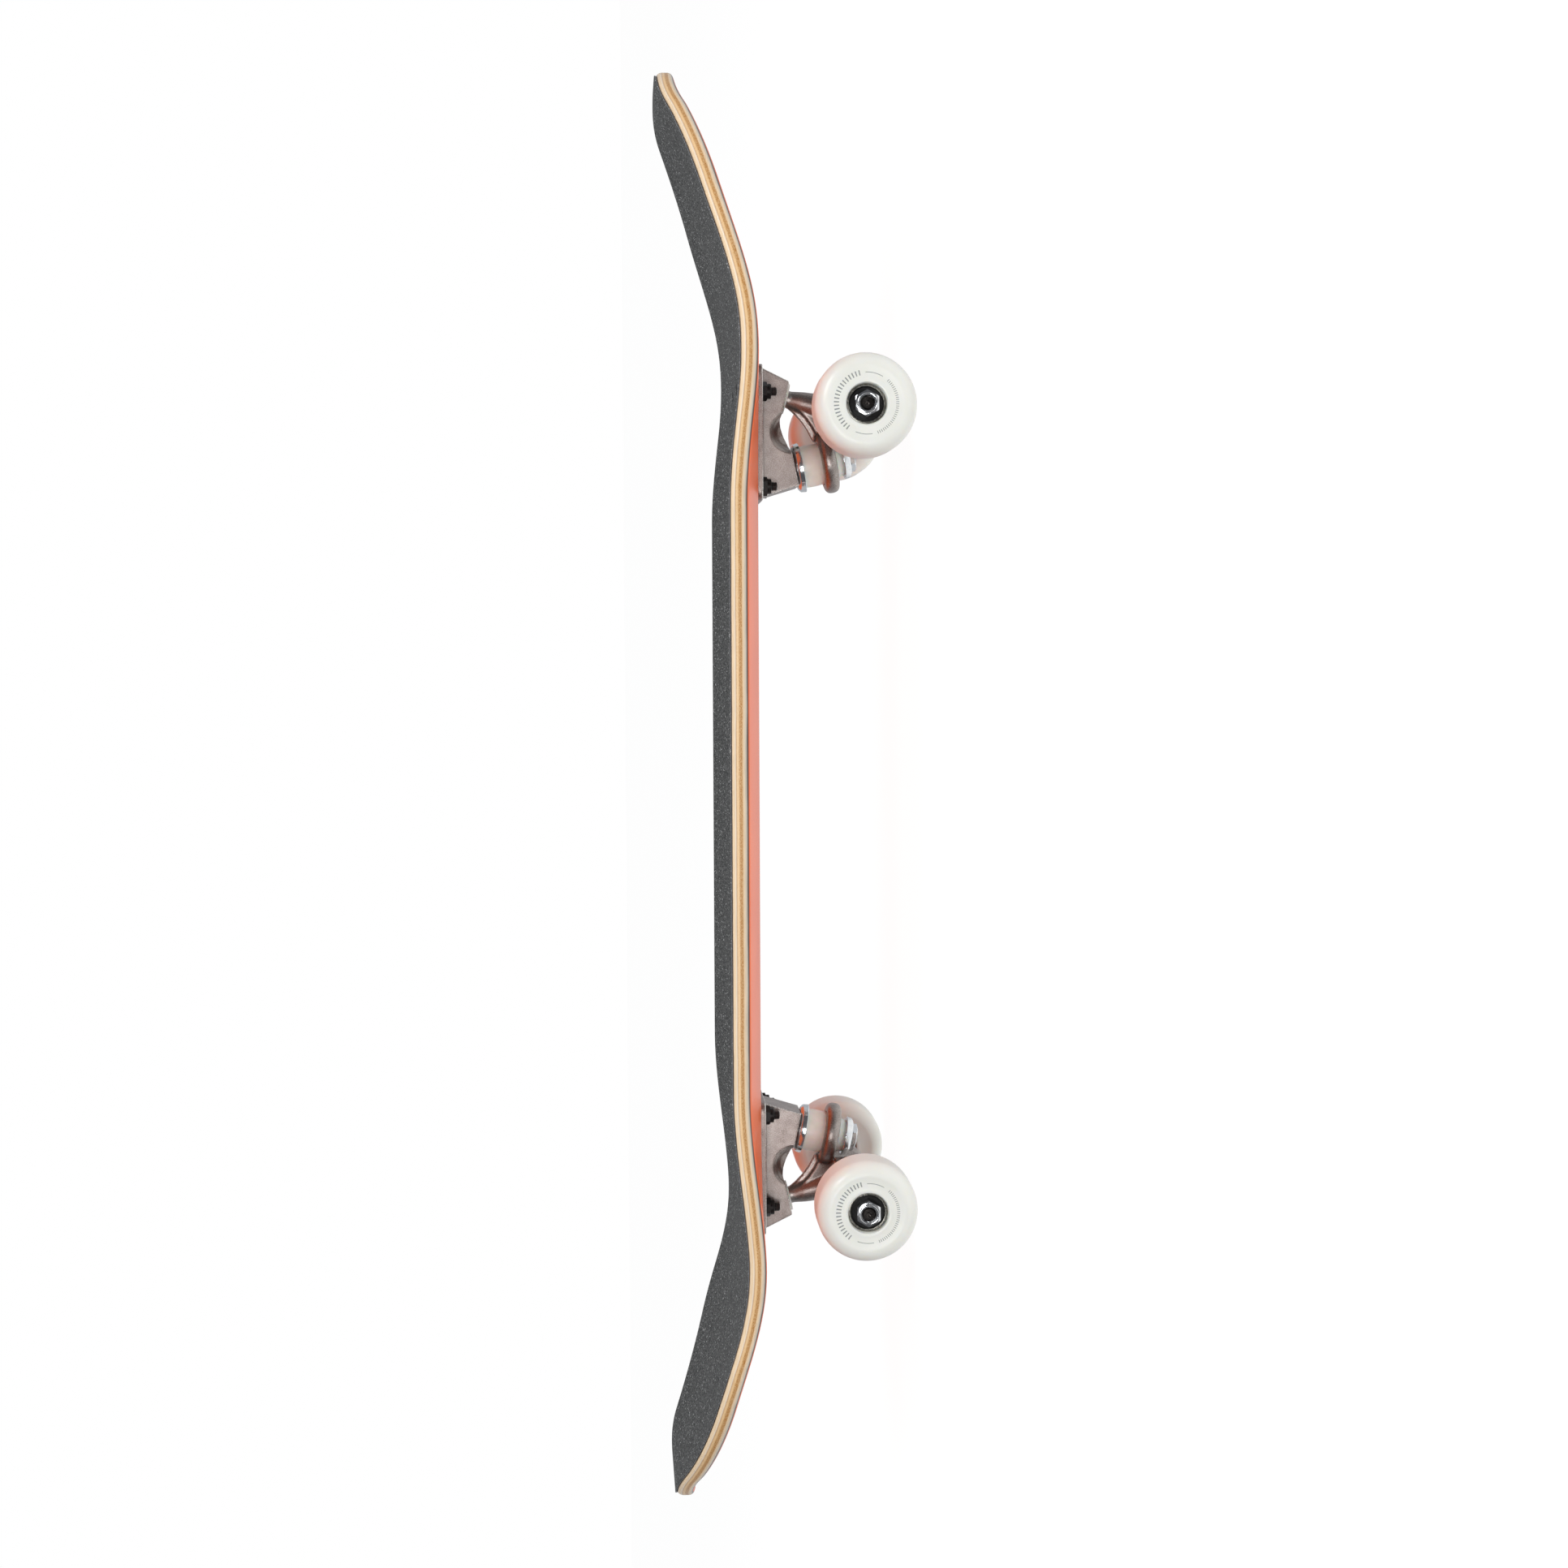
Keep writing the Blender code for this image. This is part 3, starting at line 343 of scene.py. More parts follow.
def casting_finish():
    """Raw tumbled aluminium: a warm grey grain, with painted highlights along its sharp edges."""
    made = Finish("tumbled_aluminium", (0.42, 0.38, 0.36), 0.4, 1.0)
    grain = made.noise(0.5, 2.0, None, 0.7)
    cloud = made.noise(6.0, 4.0, None, 0.6)
    dull = made.mottle(cloud, 0.3, 0.7, (0.25, 0.216, 0.202), (0.40, 0.356, 0.336))
    dull = made.mix(made.spread(grain, 0.52, 0.66, 0.0, 0.55), dull, (0.66, 0.63, 0.60))
    dull = made.mix(made.spread(grain, 0.46, 0.36, 0.0, 0.35), dull, (0.10, 0.085, 0.078))
    edge = made.add("ShaderNodeNewGeometry").outputs["Pointiness"]
    bent = made.math("ABSOLUTE", made.math("SUBTRACT", edge, 0.5))
    ragged = made.math("ADD", bent, made.spread(grain, 0.3, 0.7, -0.012, 0.012))
    # Painted highlight: sharp convex and concave edges are painted near white and made a little
    # glossier.
    painted_edge_highlight = made.spread(ragged, 0.022, 0.05)
    made.drive("Base Color", made.mix(painted_edge_highlight, dull, (0.90, 0.88, 0.86)))
    rough = made.spread(grain, 0.3, 0.7, 0.28, 0.44)
    made.drive("Roughness", made.math("SUBTRACT", rough, made.math("MULTIPLY", painted_edge_highlight, 0.10)))
    made.bump(grain, 0.07, 0.7)
    return made.material


def plated_finish():
    """Bright zinc and nickel plate with faint cloudiness."""
    made = Finish("bright_plate", (0.76, 0.78, 0.80), 0.12, 1.0)
    haze = made.noise(2.5, 4.0)
    colour = made.mottle(haze, 0.35, 0.65, (0.70, 0.73, 0.76), (0.82, 0.83, 0.84))
    made.drive("Base Color", colour)
    made.drive("Roughness", made.spread(haze, 0.3, 0.7, 0.08, 0.20))
    made.bump(made.noise(0.8, 2.0), 0.02, 0.3)
    return made.material


def black_finish():
    """Black oxide on small steel hardware."""
    made = Finish("black_oxide", (0.008, 0.007, 0.007), 0.36, 0.0)
    patch = made.noise(0.9, 3.0)
    colour = made.mottle(patch, 0.45, 0.75, (0.005, 0.0045, 0.0045), (0.016, 0.014, 0.013))
    made.drive("Base Color", colour)
    made.drive("Roughness", made.spread(patch, 0.3, 0.7, 0.26, 0.46))
    made.set(specular_ior_level=0.3)
    made.bump(patch, 0.03, 0.4)
    return made.material


def turned_finish():
    """Ground and turned steel, with fine rings round the piece's own axis."""
    made = Finish("turned_steel", (0.55, 0.55, 0.56), 0.24, 1.0)
    rings = made.noise(0.35, 2.0, made.place((0.06, 0.06, 1.0)))
    ground = made.mottle(rings, 0.3, 0.7, (0.44, 0.44, 0.45), (0.66, 0.66, 0.67))
    height = made.math("ABSOLUTE", made.axis_distance()[2])
    # Painted shade: the axle's ends, sunk inside the hub nuts, are painted near black.
    painted_shade_at_end = made.spread(height, AXLE_HALF_LENGTH - 8.0, AXLE_HALF_LENGTH - 7.0)
    made.drive("Base Color", made.mix(painted_shade_at_end, ground, (0.05, 0.045, 0.042)))
    made.drive("Roughness", made.spread(rings, 0.3, 0.7, 0.18, 0.32))
    made.bump(rings, 0.01, 0.4)
    return made.material


def race_finish():
    """The bearings' darker steel rings."""
    made = Finish("race_steel", (0.20, 0.19, 0.17), 0.22, 1.0)
    rings = made.noise(1.6, 3.0)
    colour = made.mottle(rings, 0.3, 0.7, (0.19, 0.185, 0.165), (0.27, 0.262, 0.235))
    made.drive("Base Color", colour)
    made.drive("Roughness", made.spread(rings, 0.3, 0.7, 0.16, 0.30))
    return made.material


def shield_finish():
    """Black rubber-coated bearing shields with fine moulded rings."""
    made = Finish("bearing_shield", (0.006, 0.006, 0.006), 0.32)
    made.set(specular_ior_level=0.2)
    radius, _, _ = made.axis_distance()
    ripple = made.math("SINE", made.math("MULTIPLY", radius, 9.0))
    dust = made.noise(0.6, 3.0)
    colour = made.mottle(dust, 0.45, 0.8, (0.004, 0.004, 0.004), (0.016, 0.016, 0.016))
    made.drive("Base Color", colour)
    made.drive("Roughness", made.spread(dust, 0.3, 0.7, 0.26, 0.42))
    made.bump(ripple, 0.03, 0.35)
    return made.material


# Print on the wheels' outer faces: rows of ticks as (middle angle, half angle, half width, ticks in
# a full circle, share of each that is inked), and plain lines as (middle angle, half angle).
PRINT_RADIUS = 16.6
TICK_ROWS = ((79.5, 67.0, 1.4, 54.0, 0.36), (-100.0, 60.0, 0.8, 90.0, 0.34))
LINES = ((-14.0, 17.0), (174.0, 16.0))
LINE_HALF_WIDTH = 0.17
INK = (0.30, 0.31, 0.30)


def arc_mask(made, radius, turn, middle, half_angle, half_width):
    """1 on an arc of the print, at the given middle angle and half length in degrees."""
    away = made.math("ABSOLUTE", made.math("SUBTRACT", radius, PRINT_RADIUS))
    near = made.math("LESS_THAN", away, half_width)
    off = made.math("SUBTRACT", turn, math.radians(middle))
    off = made.math("ABSOLUTE", made.math("WRAP", off, math.pi, -math.pi))
    return made.math("MULTIPLY", near, made.math("LESS_THAN", off, math.radians(half_angle)))


def ticks(made, turn, count, share):
    """1 on evenly spaced radial ticks, count of them in a full circle."""
    phase = made.math("FRACT", made.math("MULTIPLY", turn, count / (2.0 * math.pi)))
    return made.math("LESS_THAN", phase, share)


def wheel_finish():
    """Off-white cast urethane with a plain printed ring of arcs and ticks on its outer face."""
    made = Finish("cast_urethane", (0.86, 0.86, 0.82), 0.34)
    radius, turn, height = made.axis_distance()
    cloud = made.noise(14.0, 3.0)
    body = made.mottle(cloud, 0.3, 0.7, (0.85, 0.855, 0.80), (0.885, 0.885, 0.84))
    face = made.math("GREATER_THAN", height, WHEEL_HALF_WIDTH - 3.0)
    marks = [arc_mask(made, radius, turn, *line, LINE_HALF_WIDTH) for line in LINES]
    for *arc, count, share in TICK_ROWS:
        row = arc_mask(made, radius, turn, *arc)
        marks.append(made.math("MULTIPLY", row, ticks(made, turn, count, share)))
    ink = marks[0]
    for mark in marks[1:]:
        ink = made.math("MAXIMUM", ink, mark)
    worn = made.spread(made.noise(0.7, 2.0), 0.30, 0.42, 0.72, 1.0)
    ink = made.math("MULTIPLY", made.math("MULTIPLY", ink, face), worn)
    made.drive("Base Color", made.mix(ink, body, INK))
    fine = made.noise(0.8, 2.0)
    made.drive("Roughness", made.spread(fine, 0.3, 0.7, 0.30, 0.40))
    made.set(subsurface_weight=0.25, subsurface_scale=0.004)
    made.shader.inputs["Subsurface Radius"].default_value = (1.0, 0.85, 0.6)
    made.bump(fine, 0.02, 0.3)
    return made.material


def rubber_finish(name, colour, darker):
    """Satin translucent urethane for the bushings and pivot cups."""
    made = Finish(name, colour, 0.36)
    cloud = made.noise(4.0, 3.0)
    made.drive("Base Color", made.mottle(cloud, 0.3, 0.7, darker, colour))
    made.drive("Roughness", made.spread(cloud, 0.3, 0.7, 0.30, 0.42))
    made.set(subsurface_weight=0.3, subsurface_scale=0.003)
    made.bump(made.noise(0.6, 2.0), 0.02, 0.3)
    return made.material


FINISHES = {
    "maple": maple_finish(),
    "grip": grip_finish(),
    "cast_aluminium": casting_finish(),
    "zinc": plated_finish(),
    "black_steel": black_finish(),
    "steel": turned_finish(),
    "bearing": race_finish(),
    "shield": shield_finish(),
    "wheel": wheel_finish(),
    "bushing": rubber_finish("bushing_urethane", (0.90, 0.92, 0.86), (0.84, 0.86, 0.79)),
    "urethane_cup": rubber_finish("cup_urethane", (0.74, 0.73, 0.68), (0.64, 0.62, 0.57)),
}


# ---- Mesh helpers ----


def smooth(mesh, angle=SHARP_ANGLE):
    """Shades the mesh smooth, but for edges sharper than angle."""
    mesh.shade_smooth()
    mesh.set_sharp_from_angle(angle=math.radians(angle))
    return mesh


def from_bmesh(work, name, angle=SHARP_ANGLE):
    bmesh.ops.recalc_face_normals(work, faces=work.faces)
    mesh = bpy.data.meshes.new(name)
    work.to_mesh(mesh)
    work.free()
    return smooth(mesh, angle)


def rounded(profile, steps=3):
    """Rounds a closed outline. A corner is (x, y) or (x, y, radius)."""
    made = []
    count = len(profile)
    for k, corner in enumerate(profile):
        if len(corner) == 2:
            made.append(corner)
            continue
        spot = Vector(corner[:2])
        before = Vector(profile[k - 1][:2]) - spot
        after = Vector(profile[(k + 1) % count][:2]) - spot
        half = before.angle(after) / 2.0
        reach = min(corner[2] / math.tan(half), before.length * 0.49, after.length * 0.49)
        start = spot + before.normalized() * reach
        end = spot + after.normalized() * reach
        for step in range(steps + 1):
            t = step / steps
            point = start * (1.0 - t) ** 2 + spot * (2.0 * t * (1.0 - t)) + end * t**2
            made.append((point.x, point.y))
    return made


def mirrored(half):
    """An outline whose second half is its first half turned upside down."""
    return half + [(corner[0], -corner[1], *corner[2:]) for corner in reversed(half)]


def lathe(name, profile, segments=64, angle=SHARP_ANGLE):
    """Turns a closed (radius, height) outline round Z. Points on the axis become poles."""
    work = bmesh.new()
    turns = [2.0 * math.pi * step / segments for step in range(segments)]
    rings = []
    for radius, height in profile:
        if radius == 0.0:
            rings.append([work.verts.new((0.0, 0.0, height * MM))] * segments)
            continue
        ring = [(radius * math.cos(turn) * MM, radius * math.sin(turn) * MM) for turn in turns]
        rings.append([work.verts.new((x, y, height * MM)) for x, y in ring])
    for first, second in zip(rings, rings[1:] + rings[:1]):
        for step in range(segments):
            after = (step + 1) % segments
            unique = list(dict.fromkeys([first[step], first[after], second[after], second[step]]))
            if len(unique) > 2:
                work.faces.new(unique)
    return from_bmesh(work, name, angle)


def prism(name, outline, low, high):
    """Extrudes an (x, y) outline from height low to height high."""
    work = bmesh.new()
    face = work.faces.new([work.verts.new(Vector((x, y, low)) * MM) for x, y in outline])
    risen = bmesh.ops.extrude_face_region(work, geom=[face])["geom"]
    for vert in (item for item in risen if isinstance(item, bmesh.types.BMVert)):
        vert.co.z = high * MM
    return from_bmesh(work, name)


def loose(mesh, matrix=None):
    """A helper object, on no body, for a boolean or a modifier."""
    obj = bpy.data.objects.new(mesh.name, mesh)
    bpy.context.scene.collection.objects.link(obj)
    if matrix is not None:
        obj.matrix_world = matrix
    return obj


def applied(obj):
    """The object's mesh with its modifiers applied; the object is removed."""
    bpy.context.view_layer.update()
    graph = bpy.context.evaluated_depsgraph_get()
    mesh = bpy.data.meshes.new_from_object(obj.evaluated_get(graph))
    bpy.data.objects.remove(obj)
    return mesh


def combine(base, *steps):
    """Joins or cuts base with (operation, mesh, matrix) steps and returns the mesh."""
    helpers = []
    for operation, mesh, matrix in steps:
        helper = loose(mesh, matrix)
        helpers.append(helper)
        modifier = base.modifiers.new(mesh.name, "BOOLEAN")
        modifier.operation = operation
        modifier.solver = "EXACT"
        modifier.object = helper
    mesh = applied(base)
    for helper in helpers:
        bpy.data.objects.remove(helper)
    return mesh


def as_casting(mesh, voxel, passes):
    """Remeshes a sharp solid and relaxes it, which rounds its edges as a casting's are."""
    obj = loose(mesh)
    remesh = obj.modifiers.new("even", "REMESH")
    remesh.mode = "VOXEL"
    remesh.voxel_size = voxel * MM
    remesh.use_smooth_shade = True
    relax = obj.modifiers.new("relax", "SMOOTH")
    relax.factor = 0.5
    relax.iterations = passes
    made = applied(obj)
    made.shade_smooth()
    return made


def axis_frame(point, direction, roll_towards=(0.0, 1.0, 0.0)):
    """A frame at point (mm) whose Z runs along direction."""
    z = Vector(direction).normalized()
    x = Vector(roll_towards).cross(z).normalized()
    made = Matrix((x, z.cross(x), z)).transposed().to_4x4()
    made.translation = Vector(point) * MM
    return made


def threads(radius, low, high, pitch=0.9, depth=0.32):
    """Profile points of a thread from height low up to high, as rings of crests and roots."""
    count = max(1, round((high - low) / pitch))
    step = (high - low) / count
    points = []
    for k in range(count):
        start = low + k * step
        crest = [(radius, start + step * share) for share in (0.35, 0.6)]
        points += [(radius - depth, start), *crest]
    return points + [(radius - depth, high)]


# ---- Deck and grip ----


def half_width(x):
    """Half the deck's width at x."""
    taper = NOSE_TAPER if x > 0.0 else TAIL_TAPER
    power = taper["power"]
    reach = (abs(x) - taper["start"]) / (DECK_LENGTH / 2.0 - taper["start"])
    if reach <= 0.0:
        return DECK_WIDTH / 2.0
    return DECK_WIDTH / 2.0 * (1.0 - min(reach, 1.0) ** power) ** (1.0 / power)


def kick_of(x):
    """(rise, slope) of the deck's middle line at x."""
    kick = NOSE if x > 0.0 else TAIL
    along = abs(x) - kick["start"]
    if along <= 0.0:
        return 0.0, 0.0
    angle = math.radians(kick["angle"])
    bend = kick["radius"] * math.sin(angle)
    if along < bend:
        height = math.sqrt(kick["radius"] ** 2 - along**2)
        return kick["radius"] - height, along / height
    past = along - bend
    bent = kick["radius"] * (1.0 - math.cos(angle))
    rise = bent + past * math.tan(angle) - kick["ease"] * past**2
    return rise, math.tan(angle) - 2.0 * kick["ease"] * past


def smooth_step(value):
    """Eases from 0 to 1 as value goes from 0 to 1."""
    held = min(max(value, 0.0), 1.0)
    return held * held * (3.0 - 2.0 * held)


def dish_share(x):
    """How much of its full depth the dish has at x."""
    kick = NOSE if x > 0.0 else TAIL
    low = kick["dip_share"]
    past = abs(x) - kick["dip"]
    falling = smooth_step(past / DISH_FADE_LENGTH + 1.0)
    rising = smooth_step(past / KICK_DISH_LENGTH)
    return 1.0 - (1.0 - low) * falling + (KICK_DISH_SHARE - low) * rising


def surface_height(x, y):
    """Height of the deck's top face over its flat middle."""
    share = max(0.0, (abs(y) - FLAT_HALF_WIDTH) / (DECK_WIDTH / 2.0 - FLAT_HALF_WIDTH))
    return kick_of(x)[0] + EDGE_RISE * dish_share(x) * share**DISH_POWER


def rim(grid):
    """The outermost items of a grid of columns, in order round it."""
    ring = [column[0] for column in grid] + grid[-1][1:]
    return ring + [column[-1] for column in reversed(grid[:-1])] + list(reversed(grid[0][1:-1]))


def deck_sheet(name, inset, low, high, edge_radius, edge_steps, edge_depth):
    """A sheet that follows the deck, from low to high above its top face, with a rounded edge.

    The point attribute depth, which the finishes read, is edge_depth(height) of each point.
    """
    work = bmesh.new()
    layer = work.verts.layers.float.new("depth")
    reach = DECK_LENGTH / 2.0 - inset - edge_radius

    def point(x, y, height):
        scale = math.hypot(1.0, kick_of(x)[1])
        lift = DECK_UNDERSIDE + PLY_THICKNESS + surface_height(x, y) + height * scale
        vert = work.verts.new(Vector((x, y, lift)) * MM)
        vert[layer] = edge_depth(height)
        return vert

    grid = []
    for station in range(DECK_STATIONS + 1):
        turn = DECK_END_TURN + (math.pi - 2.0 * DECK_END_TURN) * station / DECK_STATIONS
        x = -reach * DECK_TIP_SHARE * math.cos(turn) / math.cos(DECK_END_TURN)
        half = half_width(x * (reach + inset + edge_radius) / reach) - inset - edge_radius
        half = max(half, DECK_TIP_HALF_WIDTH)
        grid.append([(x, half * (2.0 * k / DECK_ROWS - 1.0)) for k in range(DECK_ROWS + 1)])
    outline = rim(grid)
    count = len(outline)

    sheets = []
    for height in (high, low):
        sheet = [[point(x, y, height) for x, y in column] for column in grid]
        sheets.append(sheet)
        for near, far in zip(sheet, sheet[1:]):
            for k in range(DECK_ROWS):
                work.faces.new((near[k], far[k], far[k + 1], near[k + 1]))
    outward = []
    for k in range(count):
        along = (Vector(outline[(k + 1) % count]) - Vector(outline[k - 1])).normalized()
        outward.append(Vector((along.y, -along.x)))
    rings = [rim(sheets[0])]
    for corner, sign in ((high - edge_radius, 1.0), (low + edge_radius, -1.0)):
        order = range(1, edge_steps + 1) if sign > 0.0 else range(edge_steps, 0, -1)
        for step in order if edge_radius else ():
            angle = math.radians(90.0 * step / edge_steps)
            out = edge_radius * math.sin(angle)
            height = corner + sign * edge_radius * math.cos(angle)
            spots = [Vector(outline[k]) + outward[k] * out for k in range(count)]
            rings.append([point(spot.x, spot.y, height) for spot in spots])
    rings.append(rim(sheets[1]))
    for first, second in zip(rings, rings[1:]):
        for k in range(count):
            after = (k + 1) % count
            work.faces.new((first[k], first[after], second[after], second[k]))
    return from_bmesh(work, name, 60.0)


def shifted(x, y, z):
    """A move by millimetres."""
    return Matrix.Translation(Vector((x, y, z)) * MM)


def bolt_places():
    """(end, name, x, y) of the eight mounting bolts."""
    for end_name, end in ENDS.items():
        for row_name, row in (("outer", 1.0), ("inner", -1.0)):
            for side_name, side in SIDES.items():
                x = TRUCK_MIDDLE[end_name] + end * row * BOLT_SPACING_X / 2.0
                yield f"{end_name}_{row_name}_{side_name}", x, side * BOLT_SPACING_Y / 2.0


def make_piece(name, mesh, finish, body, matrix=None, replaces=(), slot=None):
    """A finished piece in its place, riding on its body."""
    obj = bpy.data.objects.new(name, mesh)
    bpy.context.scene.collection.objects.link(obj)
    if not mesh.materials:
        mesh.materials.append(FINISHES[finish])
    if matrix is not None:
        obj.matrix_world = matrix
    if body:
        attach(obj, body)
    if replaces:
        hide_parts(*replaces)
    return obj


def drilled(mesh, radius):
    """The sheet with a hole at each bolt."""
    steps = []
    outline = [(0.0, 30.0), (radius, 30.0), (radius, -6.0), (0.0, -6.0)]
    for name, x, y in bolt_places():
        cutter = lathe(f"drill_{name}", outline, 32)
        steps.append(("DIFFERENCE", cutter, shifted(x, y, DECK_UNDERSIDE)))
    return smooth(combine(loose(mesh), *steps), 50.0)


def make_deck():
    def below_top(height):
        return -height

    def on_edge(height):
        return 0.0 if height > GRIP_THICKNESS - 0.1 else 1.0

    plies = ("deck_plies", 0.0, -PLY_THICKNESS, 0.0, DECK_EDGE_RADIUS, EDGE_STEPS, below_top)
    shell = drilled(deck_sheet(*plies), DECK_HOLE_RADIUS)
    make_piece("deck_plies", shell, "maple", "root", None, ["deck"])
    tape = ("grip_sheet", GRIP_INSET, GRIP_GAP, GRIP_THICKNESS, 0.0, 0, on_edge)
    sheet = drilled(deck_sheet(*tape), GRIP_HOLE_RADIUS)
    make_piece("grip_sheet", sheet, "grip", "root", None, ["grip_tape"])


# ---- Mounting hardware ----


def screw_mesh():
    """A countersunk machine screw with a cross recess and a threaded end."""
    top = PLY_THICKNESS + GRIP_THICKNESS
    end = -(FLANGE_BOTTOM + NUT_ALLOWANCE + BOLT_PAST_NUT)
    head = [(0.0, top), (BOLT_HEAD_RADIUS, top, 0.25), (4.4, top - 0.6), (2.2, top - 2.8)]
    shank = list(reversed(threads(BOLT_RADIUS, end + 0.4, 0.0, 0.8, 0.14)))
    body = lathe("screw", rounded(head) + shank + [(1.8, end), (0.0, end)], 36)
    steps = []
    for x, y in ((RECESS_LENGTH, RECESS_WIDTH), (RECESS_WIDTH, RECESS_LENGTH)):
        x, y = x / 2.0, y / 2.0
        slot = prism("slot", [(-x, -y), (x, -y), (x, y), (-x, y)], top - RECESS_DEPTH, top + 1.0)
        steps.append(("DIFFERENCE", slot, None))
    return smooth(combine(loose(body), *steps))


def nut_mesh(name, flats, height, bore, collar, collar_radius):
    """A lock nut from z 0 up: a chamfered hexagon, then a round collar, with a threaded bore."""
    corner = flats / math.sqrt(3.0)
    turns = [math.radians(60.0 * k) for k in range(6)]
    outline = [(corner * math.cos(turn), corner * math.sin(turn)) for turn in turns]
    shoulder = height - collar
    hexagon = prism(name, outline, 0.0, shoulder)
    cone = flats / 2.0 + 0.15
    rise = (corner - cone) * 0.62
    chamfer = [(0.0, height), (collar_radius, height), (cone, shoulder + 0.02)]
    chamfer += [(corner + 0.2, shoulder - rise), (corner + 0.2, rise), (cone, 0.0), (0.0, 0.0)]
    turned = lathe(name + "_chamfer", chamfer, 72)
    head = combine(loose(hexagon), ("INTERSECT", turned, None))
    ring = [(0.0, shoulder - 0.6), (collar_radius, shoulder - 0.6), (collar_radius, height, 0.9)]
    ring += [(bore + 0.9, height, 0.3), (bore + 0.9, height - 0.5), (0.0, height - 0.5)]
    whole = combine(loose(head), ("UNION", lathe(name + "_collar", rounded(ring, 4), 72), None))
    tapped = [(0.0, -1.0), (bore, -1.0)] + threads(bore + 0.3, 0.2, height - 0.2, 1.1, 0.3)
    tapped += [(bore, height + 1.0), (0.0, height + 1.0)]
    tap = lathe(name + "_tap", tapped, 48)
    return smooth(combine(loose(whole), ("DIFFERENCE", tap, None)), 28.0)


def make_mounting_hardware():
    screw = screw_mesh()
    nut = nut_mesh("lock_nut", 9.5, 5.4, BOLT_RADIUS + SEAT_GAP, 2.3, 4.25)
    under = shifted(0.0, 0.0, -FLANGE_BOTTOM - SEAT_GAP) @ Matrix.Rotation(math.pi, 4, "X")
    for name, x, y in bolt_places():
        place = shifted(x, y, DECK_UNDERSIDE)
        make_piece(f"{name}_screw", screw, "black_steel", "root", place, [f"{name}_bolt"])
        make_piece(f"{name}_lock_nut", nut, "black_steel", "root", place @ under, [f"{name}_nut"])


# ---- Truck directions, in the truck's own frame ----


def lean(angle, sign):
    turn = math.radians(angle)
    return Vector((sign * math.sin(turn), 0.0, math.cos(turn)))


KINGPIN_DIRECTION = lean(KINGPIN_LEAN, 1.0)
PIVOT_DIRECTION = lean(PIVOT_LEAN, -1.0)
KINGPIN_POINT = Vector((KINGPIN_FOOT, 0.0, 0.0))
RING_POINT = KINGPIN_POINT + KINGPIN_DIRECTION * RING_HEIGHT
BALL_POINT = Vector((PIVOT_BALL[0], 0.0, PIVOT_BALL[1]))
AXLE_POINT = Vector((AXLE_OUTBOARD, 0.0, AXLE_DROP))
KINGPIN_FRAME = axis_frame(KINGPIN_POINT, KINGPIN_DIRECTION)
PIVOT_FRAME = axis_frame(BALL_POINT, PIVOT_DIRECTION)
BEAM_FRAME = axis_frame(AXLE_POINT, (0.0, 1.0, 0.0), (0.0, 0.0, 1.0))
SIDE_PLANE = Matrix.Rotation(math.radians(-90.0), 4, "X")


def side_plate(name, outline, half_thickness):
    """Extrudes an (x, z) side view equally to both sides of the truck's middle plane."""
    mesh = prism(name, [(x, -z) for x, z in outline], -half_thickness, half_thickness)
    mesh.transform(SIDE_PLANE)
    return mesh


def rounded_plate(x_low, x_high, half, radius):
    """An outline with rounded corners, equally wide to both sides."""
    corners = [(x_high, half), (x_low, half), (x_low, -half), (x_high, -half)]
    return rounded([(x, y, radius) for x, y in corners], 6)


# ---- Truck castings ----


def scoop_mesh():
    """The bowl cut into one side of the web; its axis runs outwards from the middle plane."""
    deep, wide = SCOOP_FLOOR, CORE_HALF_WIDTH
    profile = [(0.0, deep), (4.0, deep + 0.1), (7.5, deep + 1.5), (9.6, deep + 4.2)]
    profile += [(10.6, wide - 1.6), (SCOOP_RADIUS, wide - 0.2), (SCOOP_RADIUS, 30.0), (0.0, 30.0)]
    return lathe("scoop", profile, 64)


def baseplate_mesh():
    flange = rounded_plate(FLANGE_INNER, FLANGE_OUTER, FLANGE_HALF_WIDTH, 6.0)
    plate = prism("plate", flange, SEAT_GAP, FLANGE_BOTTOM + 0.4)
    web = [(42.6, 1.5), (33.6, 19.8), (16.6, 15.8), (12.3, 14.7), (8.0, 15.2), (3.2, 16.8)]
    web += [(-4.7, 20.5), (-7.3, 21.4), (-26.0, 25.2), (-33.2, 1.5)]
    boss = lathe("boss", [(0.0, 4.5), (9.4, 4.5), (9.4, BOSS_HEIGHT), (0.0, BOSS_HEIGHT)], 56)
    housing = [(0.0, -9.0), (11.6, -9.0), (10.4, PIVOT_FACE), (0.0, PIVOT_FACE)]
    box = [(-80.0, -60.0), (80.0, -60.0), (80.0, 60.0), (-80.0, 60.0)]
    above = prism("above", box, -60.0, SEAT_GAP)
    cup_bore = lathe("cup_bore", [(0.0, 12.0), (8.6, 12.0), (8.6, -8.3), (0.0, -8.3)], 48)
    pin_bore = lathe("pin_bore", [(0.0, 60.0), (4.9, 60.0), (4.9, 5.0), (0.0, 5.0)], 40)
    centre = (SCOOP_CENTRE[0], 0.0, SCOOP_CENTRE[1])
    scoops = [axis_frame(centre, (0.0, side, 0.0), (0.0, 0.0, 1.0)) for side in SIDES.values()]
    whole = combine(
        loose(plate),
        ("UNION", side_plate("web", web, CORE_HALF_WIDTH), None),
        *[("DIFFERENCE", scoop_mesh(), place) for place in scoops],
        ("UNION", boss, KINGPIN_FRAME),
        ("UNION", lathe("housing", housing, 56), PIVOT_FRAME),
        ("DIFFERENCE", above, None),
        ("DIFFERENCE", cup_bore, PIVOT_FRAME),
        ("DIFFERENCE", pin_bore, KINGPIN_FRAME),
    )
    return as_casting(whole, BASEPLATE_VOXEL, BASEPLATE_PASSES)


